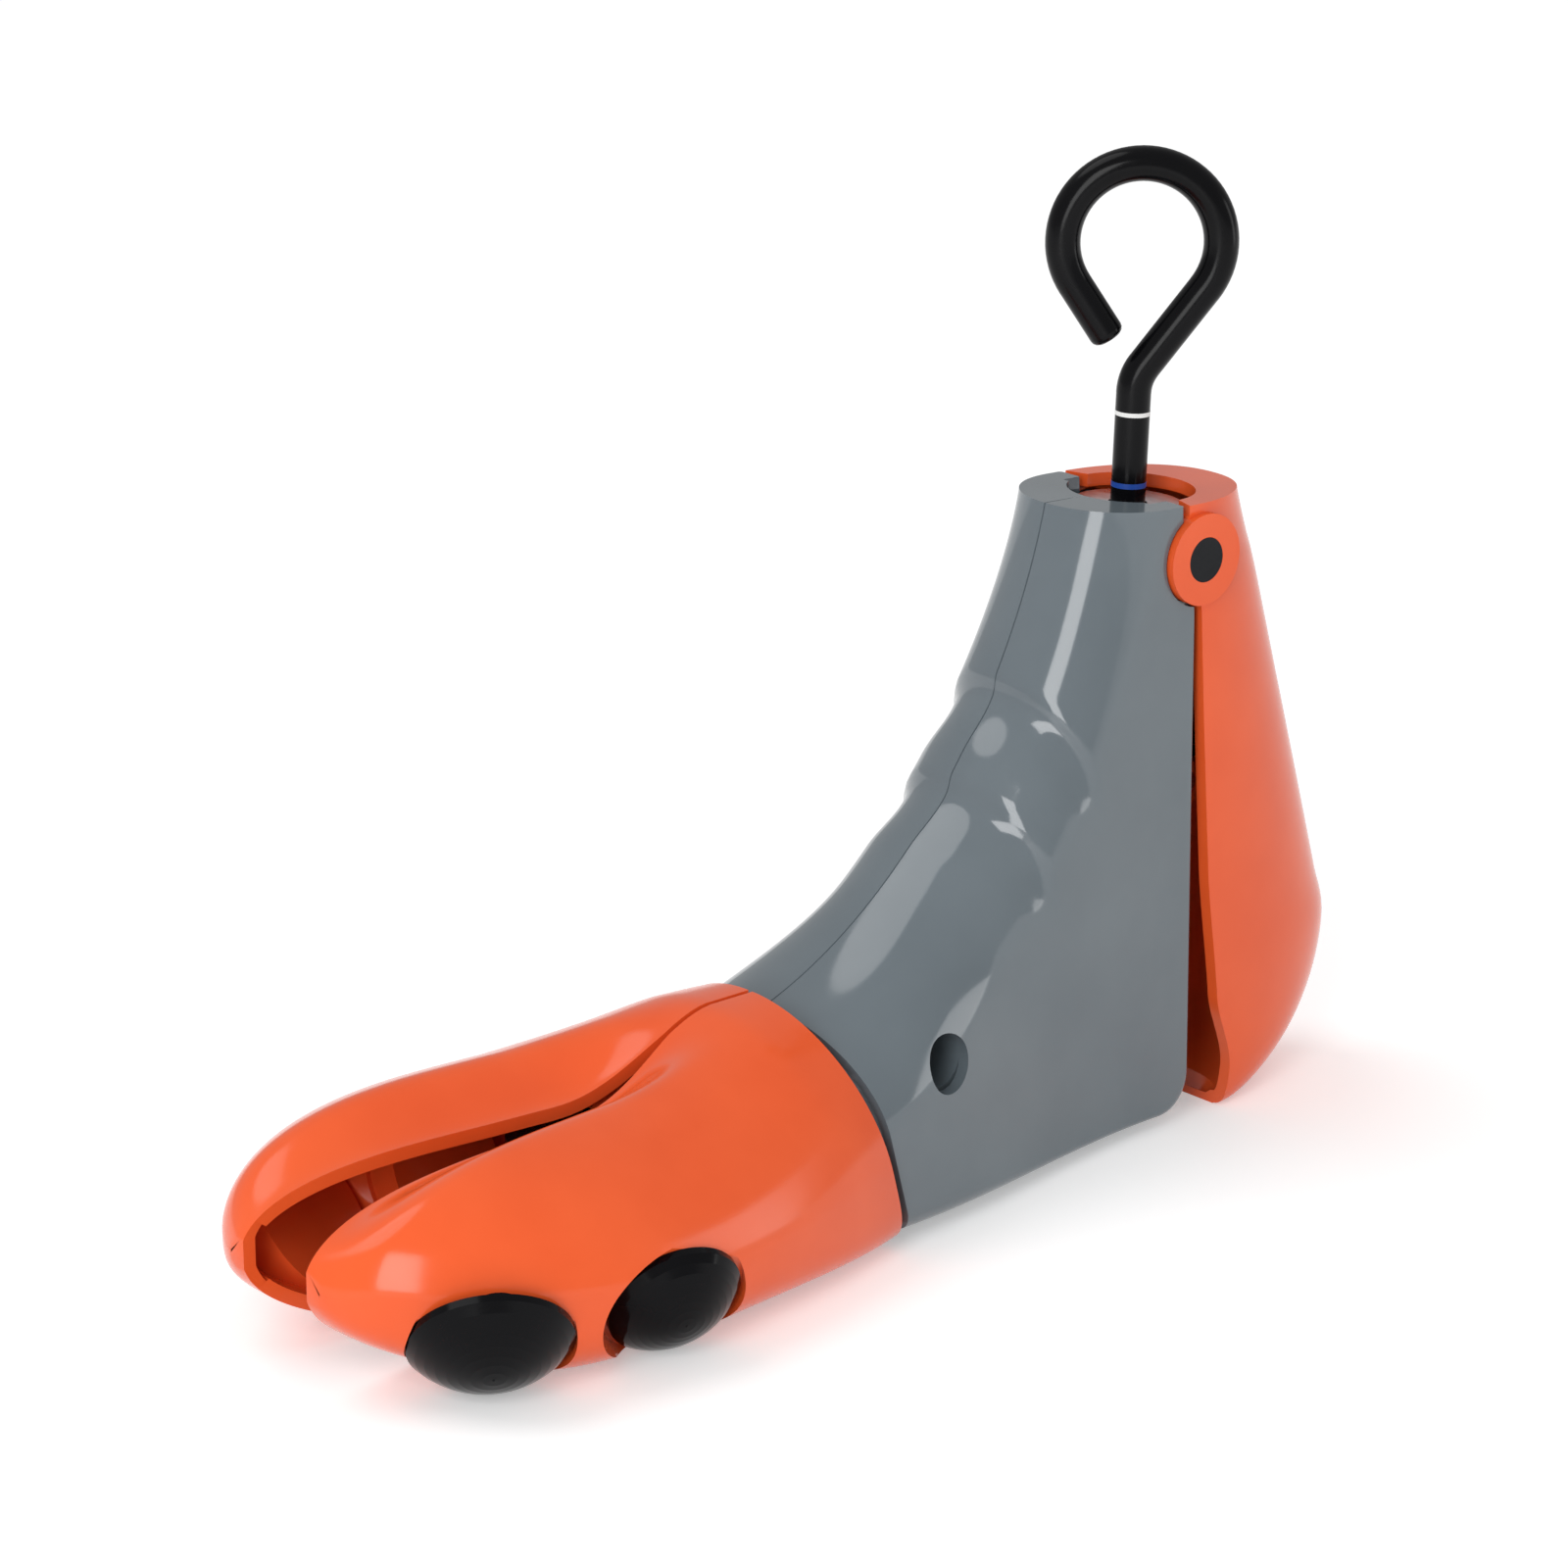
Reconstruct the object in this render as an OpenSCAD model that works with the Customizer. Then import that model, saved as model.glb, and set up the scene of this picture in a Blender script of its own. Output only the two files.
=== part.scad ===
// Shoe stretcher: a foot-shaped form in plastic that widens and lengthens a shoe.
// Turning the eye-headed screw drives a block down inside the ankle. The block swings the heel
// flap back and slides a push bar forward, and the bar's spreader swings the two toe halves apart.
// Millimetres. The toe points to -X and +Z is up. The origin is where the screw's axis meets the
// flat sole of the grey body. The near side, which has the bunion plugs, is -Y.

/* [Screw] */
// Backward lean of the screw's axis, in degrees
lean = 2.8; // [0:0.1:5]
// Diameter of the round steel rod
rod_d = 7.3; // [6:0.1:8]
// Radius of the eye, to the middle of the rod
eye_r = 16.2; // [14:0.2:20]
// Height of the eye's centre along the axis
eye_h = 184.6; // [180:1:200]
// How far below level the eye's two legs leave the circle, in degrees
leg_angle = 35; // [30:1:42]
// Length of the eye's free leg
leg_len = 13.5; // [8:0.5:15]
// Radius of the bend between the eye and the shank
neck_bend_r = 10; // [8:1:14]
// Height of the screw's lower end along the axis
screw_end = 62; // [58:1:66]

/* [Ankle and body] */
// Height of the ankle top along the axis
ankle_h = 133; // [128:1:138]
// Distance from the axis to the front of the ankle top
ankle_front = 23.9; // [22:0.1:26]
// Half width of the ankle at its top
ankle_half_w = 18.3; // [17.5:0.1:19]
// Radius of the opening in the ankle top
mouth_r = 12.8; // [12.4:0.1:13.5]
// Place of the body's flat back edge
back_x = 8.6; // [8:0.1:9.5]
// Half width of the body at its back edge, low down
back_half_w = 20.4; // [19.5:0.1:21.5]
// Radius of the corner between the back edge and the sole
back_corner_r = 8; // [5:0.5:12]
// Place of the top of the neck where the toe halves begin
neck_x = -93; // [-96:0.5:-90]
// Height of the top of the neck there
neck_top = 43.5; // [42:0.5:46]
// Half width of the neck
neck_half_w = 31.5; // [30:0.5:33]
// Backward slope of the neck's end, in degrees from upright
neck_slope = 15; // [10:1:18]
// Wall of the moulded shells
wall = 2.8; // [2.2:0.1:3.2]
// How far the toe halves and the heel flap stand proud of the body
proud = 3; // [2.5:0.1:3.5]
// Depth of the finger dents on the front ridge
dent_depth = 1.5; // [0:0.1:2]

/* [Toe halves] */
// Place of the tip of the toe
toe_tip_x = -216; // [-222:1:-212]
// Half width across the ball of the foot
ball_half_w = 47; // [45:0.5:50]
// Height of the crown of each toe half above the sole plane
crown_z = 43.5; // [42:0.5:46]
// Height of the inner edge of each toe half
inner_edge_z = 35; // [34:0.5:37]
// Half of the gap between the toe halves at the tip
tip_half_gap = 9.5; // [8:0.5:12]
// Height of the tip's foremost point
tip_z = 21; // [18:1:24]
// Distance of each toe hinge pin from the middle
toe_hinge_y = 11; // [10.5:0.1:12]
// Place of the toe hinge pins along the foot
toe_hinge_x = -89; // [-90:0.5:-88]
// Diameter of the steel pins in the toe
toe_pin_d = 5; // [4:0.1:5.5]
// Swing of each toe half, in degrees
toe_swing = 3.5; // [2:0.1:3.5]

/* [Heel flap] */
// Furthest point of the heel
heel_back_x = 63; // [57:0.5:64]
// Height of that point
heel_bulge_z = 31; // [28:1:34]
// Half width of the heel at its fullest
heel_half_w = 21.5; // [20:0.5:24]
// Place of the flap's hinge axis
hinge_x = 9.8; // [9.5:0.1:10.2]
// Height of the flap's hinge axis
hinge_z = 121; // [120:0.5:122]
// Radius of the flap's hinge ears
ear_r = 9.7; // [9:0.1:10]
// Thickness of the hinge ears
ear_t = 3.4; // [3:0.1:4]
// Diameter of the two stub pins of the hinge
hinge_pin_d = 9.4; // [8.5:0.1:10]
// Swing of the heel flap, in degrees
heel_swing = 5; // [3:0.5:5]

/* [Drive] */
// Travel of the drive block, the distance between the screw's two painted marks
stroke = 15; // [12:0.5:15]
// Half width of the drive block
block_half_w = 8; // [7.5:0.1:8.5]
// Travel of the push bar
push_travel = 9; // [7:0.5:9]
// Diameter of the steel pins that run in the block's slots
slot_pin_d = 5; // [4:0.1:5.5]

/* [Bunion plugs] */
// Radius of the front plug's round foot in its hole
front_plug_r = 16; // [14:0.1:16.5]
// Radius of the rear plug's round foot in its hole
rear_plug_r = 13.6; // [12:0.1:14.5]
// Height of the front plug's dome
front_dome = 7.7; // [5:0.1:9]
// Height of the rear plug's dome
rear_dome = 6.3; // [5:0.1:8]

/* [Fits] */
// Clearance of a plain running fit, on the radius
fit = 0.05; // [0.03:0.01:0.09]
// Clearance between moving pieces that only pass each other
play = 0.5; // [0.3:0.1:0.7]

/* [Hidden] */

$fn = 48;
grey = [0.40, 0.47, 0.50];
orange = [0.92, 0.36, 0.20];
red = [0.70, 0.14, 0.10];
black = [0.10, 0.10, 0.11];
steel = [0.72, 0.73, 0.75];
cap_gap = 0.2;

rod_r = rod_d / 2;
toe_pin_r = toe_pin_d / 2;
slot_pin_r = slot_pin_d / 2;
hinge_pin_r = hinge_pin_d / 2;
axis_x = sin(lean);
axis_z = cos(lean);
slope_run = tan(neck_slope);

function mix(a, b, t) = a + (b - a) * t;
function clamp01(t) = max(0, min(1, t));
function smooth(t) = let (u = clamp01(t)) u * u * (3 - 2 * u);
function sgn_pow(v, p) = sign(v) * pow(abs(v), p);
// A value that runs from a to b to c as t goes 0, m, 1, level at each of them
function mix3(a, b, c, m, t) = t < m ? mix(a, b, smooth(t / m)) : mix(b, c, smooth((t - m) / (1 - m)));
function bezier(p, t) = pow(1 - t, 3) * p[0] + 3 * pow(1 - t, 2) * t * p[1]
    + 3 * (1 - t) * t * t * p[2] + pow(t, 3) * p[3];

// Places its children on the screw's axis at height s
module on_axis(s) {
    rotate([0, lean, 0])
        translate([0, 0, s])
            children();
}

module tube(r_out, r_in, h) {
    difference() {
        cylinder(r = r_out, h = h);
        translate([0, 0, -1])
            cylinder(r = r_in, h = h + 2);
    }
}

// A flat plate in the XZ plane, half_y to each side of y
module upright(points, half_y, y = 0) {
    translate([0, y + half_y, 0])
        rotate([90, 0, 0])
            linear_extrude(2 * half_y)
                polygon(points);
}

// A cylinder along Y from y0 to y1 at place (x, z)
module cross_pin(x, z, r, y0, y1) {
    translate([x, max(y0, y1), z])
        rotate([90, 0, 0])
            cylinder(r = r, h = abs(y1 - y0));
}

// The outline of a slot of radius r, whose round ends are at p and p + run
function stadium(p, run, r) = let (t = atan2(run.y, run.x), ends = 16) concat(
    [for (k = [0:ends]) let (a = t - 90 + 180 * k / ends) p + run + r * [cos(a), sin(a)]],
    [for (k = [0:ends]) let (a = t + 90 + 180 * k / ends) p + r * [cos(a), sin(a)]]
);

// Grids of points: a shell is an outer grid of rows, and an inner grid one wall inside it

function cross_at(g, i, j) = let (
    m = len(g) - 1,
    n = len(g[0]) - 1,
    du = g[min(i + 1, m)][j] - g[max(i - 1, 0)][j],
    dv = g[i][min(j + 1, n)] - g[i][max(j - 1, 0)],
    c = cross(du, dv)
) c / max(norm(c), 1e-9);

// Moves each point in by t. The points of the first and last column keep to their edge plane:
// keep is 1 where that plane is the middle one, and 0 where it faces along X.
function inset(g, t, keep = 1) = [for (i = [0:len(g) - 1]) [for (j = [0:len(g[0]) - 1]) let (
    n = cross_at(g, i, j),
    edge = j == 0 || j == len(g[0]) - 1,
    e = keep == 1 ? [n.x, 0, n.z] : [0, n.y, n.z],
    d = edge ? e / max(norm(e), 1e-9) : n
) g[i][j] - t * d]];

// Closes an outer and an inner grid of the same size into one solid. The first row is an open
// rim. The last row is an open rim too, or is capped.
module shell(outer, inner, cap = false) {
    m = len(outer) - 1;
    n = len(outer[0]) - 1;
    w = n + 1;
    k = (m + 1) * w;
    e = m * w;
    pts = concat([for (r = outer) each r], [for (r = inner) each r]);
    skin = [for (i = [0:m - 1]) for (j = [0:n - 1]) each let (a = i * w + j)
        [[a, a + 1, a + w + 1], [a, a + w + 1, a + w]]];
    lining = [for (f = skin) [f[0] + k, f[2] + k, f[1] + k]];
    rim = [for (j = [0:n - 1]) each [[j, j + k, j + 1 + k], [j, j + 1 + k, j + 1]]];
    low = [for (i = [0:m - 1]) each let (a = i * w, b = a + w)
        [[a, b, b + k], [a, b + k, a + k]]];
    high = [for (i = [0:m - 1]) each let (a = i * w + n, b = a + w)
        [[a, b + k, b], [a, a + k, b + k]]];
    tail = cap
        ? concat(
            [for (j = [1:n - 1]) [e, e + j, e + j + 1]],
            [for (j = [1:n - 1]) [e + k, e + k + j + 1, e + k + j]],
            [[e, e + n, e + n + k], [e, e + n + k, e + k]])
        : [for (j = [0:n - 1]) each [[e + j, e + j + 1, e + j + 1 + k], [e + j, e + j + 1 + k, e + j + k]]];
    polyhedron(pts, concat(skin, lining, rim, low, high, tail), convexity = 8);
}

// The grey body. Each row of its grid is a slice from a point on the front ridge to a point on
// the back edge, the rounded corner or the sole. The slices fan out from the ankle to the neck.

top_centre = [ankle_h * axis_x, ankle_h * axis_z];
top_front = top_centre + ankle_front * [-axis_z, axis_x];
// The joint between body and flap crosses the top this far in front of the axis
top_joint = 1.8;
top_back_x = top_centre.x - top_joint;
ridge = [
    top_front,
    top_front + [-7.9, -33.8],
    [neck_x + 41.5, neck_top + 14.5],
    [neck_x, neck_top]
];
neck_sole_x = neck_x + neck_top * slope_run;
// Share of the rows that end on the back edge, and on the corner
back_share = 0.62;
corner_share = 0.74;

// The back edge leans in towards the axis near the top
function back_edge(z) = back_x - (back_x - top_back_x) * smooth((z - 108) / 25);

function base_point(t) = t < back_share
    ? let (z = mix(top_centre.y + top_joint * axis_x, back_corner_r, t / back_share))
        [back_edge(z), z]
    : t < corner_share
    ? let (a = 90 * (t - back_share) / (corner_share - back_share))
        [back_x - back_corner_r + back_corner_r * cos(a), back_corner_r - back_corner_r * sin(a)]
    : [mix(back_x - back_corner_r, neck_sole_x, (t - corner_share) / (1 - corner_share)), 0];

// Two leaf-shaped dents that wrap across the ridge. s runs down the ridge from the ankle top,
// q runs back from the ridge.
function leaf(s, q, s0, half, reach) = let (
    h = half * (1 - pow(min(q / reach, 1), 2)),
    u = (s - s0 - 0.25 * q) / max(h, 0.01)
) abs(u) < 1 ? (1 - u * u) * (1 - 0.35 * u) : 0;
function dent(s, q) = dent_depth * min(1, leaf(s, q, 46, 9, 24) + leaf(s, q, 68, 8, 26));

body_rows = concat(
    [for (k = [0:15]) back_share * k / 16],
    [for (k = [0:2]) mix(back_share, corner_share, k / 3)],
    [for (k = [0:7]) mix(corner_share, 1, k / 7)]
);
front_steps = 9;
flank_steps = 3;

function ridge_t(t) = t * (0.86 + 0.14 * t);

// Half slice at share t, with its points from the ridge round the side to the back, drawn in
// by g on all its sides
function body_slice(t, g = 0) = let (
    r0 = bezier(ridge, ridge_t(t)),
    b = base_point(t),
    run = norm(b - r0) - 2 * g,
    d = (b - r0) / norm(b - r0),
    r = r0 + g * d,
    depth = mix3(18.5, 20.5, 22, corner_share, t) - g,
    wm = mix3(ankle_half_w, 23, neck_half_w, corner_share, t) - g,
    wb = mix3(ankle_half_w, back_half_w, neck_half_w, corner_share, t) - g,
    rc = max(0.6, mix3(0.8, 3, 6, corner_share, t) - g),
    s = norm(r0 - top_front),
    front = [for (k = [0:front_steps]) let (
        a = 90 * k / front_steps,
        f = depth * (1 - pow(cos(a), 0.95)),
        dd = dent(s, f)
    ) [f + dd * cos(a), wm * pow(sin(a), 0.95) - dd * sin(a)]],
    flank = [for (k = [1:flank_steps]) let (u = k / flank_steps)
        [mix(depth, run - rc, u), mix(wm, wb, smooth(u))]],
    corner = [for (a = [30:30:90]) [run - rc + rc * sin(a), wb - rc + rc * cos(a)]],
    floor = [for (u = [0.5, 1]) [run, (wb - rc) * (1 - u)]]
) [for (p = concat(front, flank, corner, floor)) [r.x + d.x * p[0], -p[1], r.y + d.y * p[0]]];

tongue_len = 10;
tongue_step = 2.2;
neck_wall = wall + 1.2;
function shifted(row, v) = [for (p = row) p + v];

// Top plate, fanned in to a small loop that the mouth cuts away, then the skin, then the
// tongue that reaches under the toe halves
body_loop = top_centre - 6.5 * [axis_z, -axis_x];
body_top_row = [for (p = body_slice(0)) [
    mix(body_loop.x, p.x, 0.3), 0.3 * p.y, mix(body_loop.y, p.z, 0.3)
]];
body_outer = concat(
    [body_top_row],
    [for (t = body_rows) body_slice(t)],
    [for (dx = [-0.3, -tongue_len]) shifted(body_slice(1, tongue_step), [dx, 0, 0])]
);
drop = -wall * [axis_x, 0, axis_z];
body_inner = concat(
    [shifted(body_top_row, drop)],
    [shifted(body_slice(0, wall), drop)],
    [for (k = [1:len(body_rows) - 2]) body_slice(body_rows[k], wall)],
    [for (dx = [0, -0.3, -tongue_len]) shifted(body_slice(1, neck_wall), [dx, 0, 0])]
);

// Heights along the axis of the pieces at the top: shelf, nut, disc
shelf_low = ankle_h - 21;
nut_low = ankle_h - 17;
nut_h = 8;
nut_flats = 13;
disc_low = ankle_h - 4.5;
disc_t = 1.5;
disc_r = 11.5;
shelf_shape = [[2, 16.8], [-8, 16.2], [-16, 13], [-21, 8], [-22.8, 3], [-22.8, -3], [-21, -8],
    [-16, -13], [-8, -16.2], [2, -16.8]];

boss_r = 7.5;
boss_in = 12.9;
recess_r = ear_r + play;
recess_y = 16.2;

// The screw that joins the two body halves
screw_x = -68.7;
screw_z = 32.7;
screw_hole_r = 6;
screw_head_r = 4;
screw_shank_r = 2;
screw_seat_y = -8;
screw_boss_y = -24.6;

// The neck's bored blocks, between the two lugs of each toe half
block_low = 11.3;
block_high = 29.7;
block_shape = [[6.5, block_low], [28.4, block_low], [28.4, 22], [24.4, block_high], [6.5, block_high]];

// Channel in which the push bar slides
bar_half = 6;
bar_low = 14;
bar_h = 9;
channel_x = [-60, -34];

// The openings at the back for the drive block, wider at the hinge
back_slot_half = 9;
back_slot_low = 40;
hinge_slot_low = 108;

module body_half() {
    difference() {
        union() {
            difference() {
                children();
                on_axis(ankle_h - wall - 3)
                    cylinder(r = mouth_r, h = 10);
                translate([0, -back_slot_half, back_slot_low])
                    cube([20, 2 * back_slot_half, 100]);
                translate([0, 0.1 - mouth_r, hinge_slot_low])
                    cube([20, 2 * mouth_r - 0.2, 40]);
            }
            intersection() {
                union() {
                    on_axis(shelf_low)
                        linear_extrude(disc_low - shelf_low)
                            union() {
                                polygon(shelf_shape);
                                circle(r = 12.2);
                            }
                    cross_pin(hinge_x, hinge_z, boss_r, -recess_y, -boss_in);
                    cross_pin(screw_x, screw_z, screw_hole_r + 1.6, screw_boss_y, 0);
                    translate([toe_hinge_x - 6, 0, 0])
                        rotate([90, 0, 0])
                            rotate([0, 90, 0])
                                linear_extrude(12)
                                    polygon([for (p = block_shape) [-p[0], p[1]]]);
                    translate([channel_x[0], -8.5, 1.2])
                        cube([channel_x[1] - channel_x[0], 17, 18.8]);
                }
                translate([-150, -60, -10])
                    cube([200, 60, 200]);
            }
        }
        cross_pin(hinge_x, hinge_z, recess_r, -30, -recess_y);
        cross_pin(hinge_x, hinge_z, hinge_pin_r, -30, -boss_in + 1);
        on_axis(shelf_low - 1)
            cylinder(r = rod_r + 0.6, h = 20);
        on_axis(nut_low)
            cylinder(r = nut_flats / 2 / cos(30), h = 20, $fn = 6);
        cross_pin(screw_x, screw_z, screw_hole_r, -40, screw_seat_y);
        cross_pin(screw_x, screw_z, screw_shank_r, -40, 1);
        translate([toe_hinge_x, -toe_hinge_y, block_low - 1])
            cylinder(r = toe_pin_r, h = block_high - block_low + 2);
        translate([channel_x[0] - 1, -bar_half - 0.3, bar_low - 0.3])
            cube([60, 2 * bar_half + 0.6, 10]);
    }
}

module body_right() {
    color(grey)
        body_half()
            shell(body_outer, body_inner);
}

module body_left() {
    color(grey)
        mirror([0, 1, 0])
            body_half()
                shell(body_outer, body_inner);
}

module body_screw() {
    color(steel) {
        cross_pin(screw_x, screw_z, screw_shank_r, screw_seat_y, 13);
        cross_pin(screw_x, screw_z, screw_head_r, screw_seat_y - 3, screw_seat_y);
    }
}

// The toe halves. Rows are sheared stations from the rim at the neck to the tip; points run
// from the top inner edge over the crown and round the outside to the bottom inner edge.

rim_x = neck_sole_x - 3;
ball_x = -157;
nose_len = ball_x - toe_tip_x;
toe_open_rows = 9;
toe_nose_rows = 12;
toe_cols = 24;

function nose_u(x) = clamp01((ball_x - x) / nose_len);
function gap_at(x) = max(0.6, tip_half_gap * (-x - 105) / 105);
function half_w_at(x) = x > ball_x
    ? ball_half_w - 11 * pow((x - ball_x) / 66, 2)
    : let (u = nose_u(x)) gap_at(x) + (ball_half_w - gap_at(x)) * pow(1 - u * u, 0.56);
function wide_z_at(x) = mix(16.5, tip_z, smooth((-x - 140) / 70));
function nose_fall(x) = sqrt(1 - pow(nose_u(x), 3));
function top_h_at(x) = (crown_z + 4 * pow(clamp01((145 + x) / 48), 1.3) - wide_z_at(x)) * nose_fall(x);
function low_h_at(x) = (wide_z_at(x) + proud) * nose_fall(x) * (1 - 0.18 * smooth((-x - 168) / 45));
function dip_at(x) = (crown_z - inner_edge_z + 1) * smooth((-x - 97) / 33) * sqrt(1 - pow(nose_u(x), 2));
function lean_at(x) = slope_run * (1 - smooth((rim_x - x) / 70));
// The section is fullest at the rim, where it passes over the neck
function top_pow_at(x) = mix(1, 1.25, smooth((rim_x - x) / 45));
function low_pow_at(x) = mix(0.45, 0.6, smooth((rim_x - x) / 50));

function toe_point(x, a) = let (
    w = half_w_at(x) - gap_at(x),
    q = w * pow(sin(a), a < 90 ? 1 : low_pow_at(x)),
    c = sgn_pow(cos(a), a < 90 ? top_pow_at(x) : low_pow_at(x)),
    z = wide_z_at(x) + c * (c > 0 ? top_h_at(x) : low_h_at(x))
        - (c > 0 ? dip_at(x) * (1 - smooth(q / 12)) : 0)
) [x - lean_at(x) * z, -gap_at(x) - q, z];

// Seats of the plugs: the middle of each seat's flat, then its outward axis as the angle from +Z
// and the turn about Z
front_seat = [-191.1, 12.6 - ball_half_w, 10];
front_aim = [125.9, -122.6];
rear_seat = [-151.7, 6 - ball_half_w, 9.4];
rear_aim = [116.4, -105.3];

toe_stations = concat(
    [for (k = [0:toe_open_rows - 1]) mix(rim_x, ball_x, k / toe_open_rows)],
    [for (k = [0:toe_nose_rows]) ball_x - nose_len * sin(82 * k / toe_nose_rows)]
);
// The columns are closer together near the top inner edge
function toe_angle(u) = u < 0.5 ? 90 * pow(2 * u, 1.4) : 180 * u;
toe_outer = [for (x = toe_stations) [for (j = [0:toe_cols]) toe_point(x, toe_angle(j / toe_cols))]];
toe_inset = inset(toe_outer, wall);
// The tip's own row only moves straight back, so that the lining doesn't fold over itself
toe_inner = concat(
    [for (i = [0:len(toe_outer) - 2]) toe_inset[i]],
    [shifted(toe_outer[len(toe_outer) - 1], [wall, 0, 0])]
);

// The space inside a toe half's skin, closed flat along its inner edge
module shell_core(g) {
    m = len(g) - 1;
    n = len(g[0]) - 1;
    w = n + 1;
    mid = (m + 1) * w;
    centres = [for (r = g) (r[0] + r[n]) / 2];
    skin = [for (i = [0:m - 1]) for (j = [0:n - 1]) each let (a = i * w + j)
        [[a, a + 1, a + w + 1], [a, a + w + 1, a + w]]];
    side = [for (i = [0:m - 1]) each let (a = i * w, b = a + n, c = mid + i)
        [[a, a + w, c + 1], [a, c + 1, c], [b, c, c + 1], [b, c + 1, b + w]]];
    ends = [for (j = [0:n - 1]) each [[mid, j + 1, j], [mid + m, m * w + j, m * w + j + 1]]];
    polyhedron(concat([for (r = g) each r], centres), concat(skin, side, ends), convexity = 6);
}

// Lugs above and below the neck's block
lug_t = 4;
lug_gap = 0.5;
lug_end_x = -134;
lug_inner_y = 5;
cam_x = -128;
cam_y = 9;
upper_lug = block_high + lug_gap;
lower_lug = block_low - lug_gap - lug_t;

module lug() {
    hull_x = toe_hinge_x - 18;
    translate([toe_hinge_x, -toe_hinge_y, 0])
        cylinder(r = 4.6, h = lug_t);
    translate([hull_x, -toe_hinge_y - 4.6, 0])
        cube([18, 9.2, lug_t]);
    translate([lug_end_x, -21, 0])
        cube([hull_x + 1 - lug_end_x, 21 - lug_inner_y, lug_t]);
}

// Places its children on a plug's seat, with +Z outward
module at_seat(seat, aim) {
    translate(seat)
        rotate([0, aim[0], aim[1]])
            children();
}

// A plug is a domed cap on a narrower foot. The seat has a bore for the foot and a wider recess
// for the cap.
foot_h = 8;
foot_step = 4;
cap_t = 1.5;
socket_wall = 2;

module socket(r) {
    translate([0, 0, -foot_h - socket_wall])
        cylinder(r = r + socket_wall, h = foot_h + 2 * socket_wall);
}

module socket_hole(r, cap_room) {
    translate([0, 0, -foot_h])
        cylinder(r = r - foot_step + fit, h = foot_h);
    translate([0, 0, -cap_t - 0.1])
        cylinder(r = r + cap_room, h = 30);
}

module toe_half() {
    difference() {
        union() {
            shell(toe_outer, toe_inner, cap = true);
            translate([0, 0, upper_lug])
                lug();
            translate([0, 0, lower_lug])
                lug();
            upright([[lug_end_x, -1.4], [lug_end_x, 39.5], [-108, 40.5], [-106, -1.4]], 1.25, -19.7);
            intersection() {
                shell_core(toe_outer);
                union() {
                    at_seat(front_seat, front_aim)
                        socket(front_plug_r);
                    at_seat(rear_seat, rear_aim)
                        socket(rear_plug_r);
                }
            }
        }
        at_seat(front_seat, front_aim)
            socket_hole(front_plug_r, 0.3);
        at_seat(rear_seat, rear_aim)
            socket_hole(rear_plug_r, 1);
        translate([toe_hinge_x, -toe_hinge_y, 1])
            cylinder(r = toe_pin_r + fit, h = 40);
        translate([cam_x, -cam_y, 4])
            cylinder(r = toe_pin_r, h = 29);
    }
}

module toe_right() {
    color(orange)
        toe_half();
}

module toe_left() {
    color(orange)
        mirror([0, 1, 0])
            toe_half();
}

module pivot_pin(side) {
    color(steel)
        translate([toe_hinge_x, side * toe_hinge_y, lower_lug])
            cylinder(r = toe_pin_r, h = upper_lug + lug_t - lower_lug);
}

module cam_pin(side) {
    color(steel)
        translate([cam_x, side * cam_y, lower_lug])
            cylinder(r = toe_pin_r, h = upper_lug + lug_t - 1.2 - lower_lug);
}

module toe_pivot_pin_right() {
    pivot_pin(-1);
}

module toe_pivot_pin_left() {
    pivot_pin(1);
}

module toe_cam_pin_right() {
    cam_pin(-1);
}

module toe_cam_pin_left() {
    cam_pin(1);
}

module plug(r, dome) {
    cap_r = (r * r + dome * dome) / (2 * dome);
    arc = asin(r / cap_r);
    color(black)
        rotate_extrude()
            polygon(concat(
                [[0, -foot_h], [r - foot_step, -foot_h], [r - foot_step, -cap_t], [r, -cap_t]],
                [for (k = [0:8]) let (a = arc * (1 - k / 8)) [cap_r * sin(a), cap_r * cos(a) - cap_r + dome]]
            ));
}

module plug_front() {
    at_seat(front_seat, front_aim)
        plug(front_plug_r, front_dome);
}

module plug_rear() {
    at_seat(rear_seat, rear_aim)
        plug(rear_plug_r, rear_dome);
}

// The heel flap: a cup open to the front and closed at the bottom. Rows go down from the top,
// and points run from the near front edge round the back to the far front edge.

flap_rows_up = 11;
flap_rows_low = 8;
flap_cols = 22;
heel_centre_x = 22;

function flap_front(z) = z > hinge_z
    ? back_edge(z) + 0.3 + 0.095 * (z - hinge_z)
    : back_edge(z) + mix(1.2, 3.2, (hinge_z - z) / 70)
        + 2 * pow(clamp01((52 - z) / 26), 1.4) + 5 * smooth((26 - z) / 20);
function flap_back(z) = z > heel_bulge_z
    ? let (u = (z - heel_bulge_z) / (ankle_h - heel_bulge_z))
        heel_back_x - (heel_back_x - 31.7) * (0.92 * u + 0.08 * u * u) * smooth(u / 0.12 + 0.25)
    : let (u = (heel_bulge_z - z) / (heel_bulge_z + proud))
        heel_centre_x + (heel_back_x - heel_centre_x) * sqrt(max(0.012, 1 - u * u));
function flap_half_w(z) = z > heel_bulge_z
    ? mix(heel_half_w, ankle_half_w, smooth(pow((z - heel_bulge_z) / (ankle_h - heel_bulge_z), 0.75)))
    : let (u = (heel_bulge_z - z) / (heel_bulge_z + proud)) heel_half_w * pow(max(0.008, 1 - u * u), 0.07);

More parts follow.
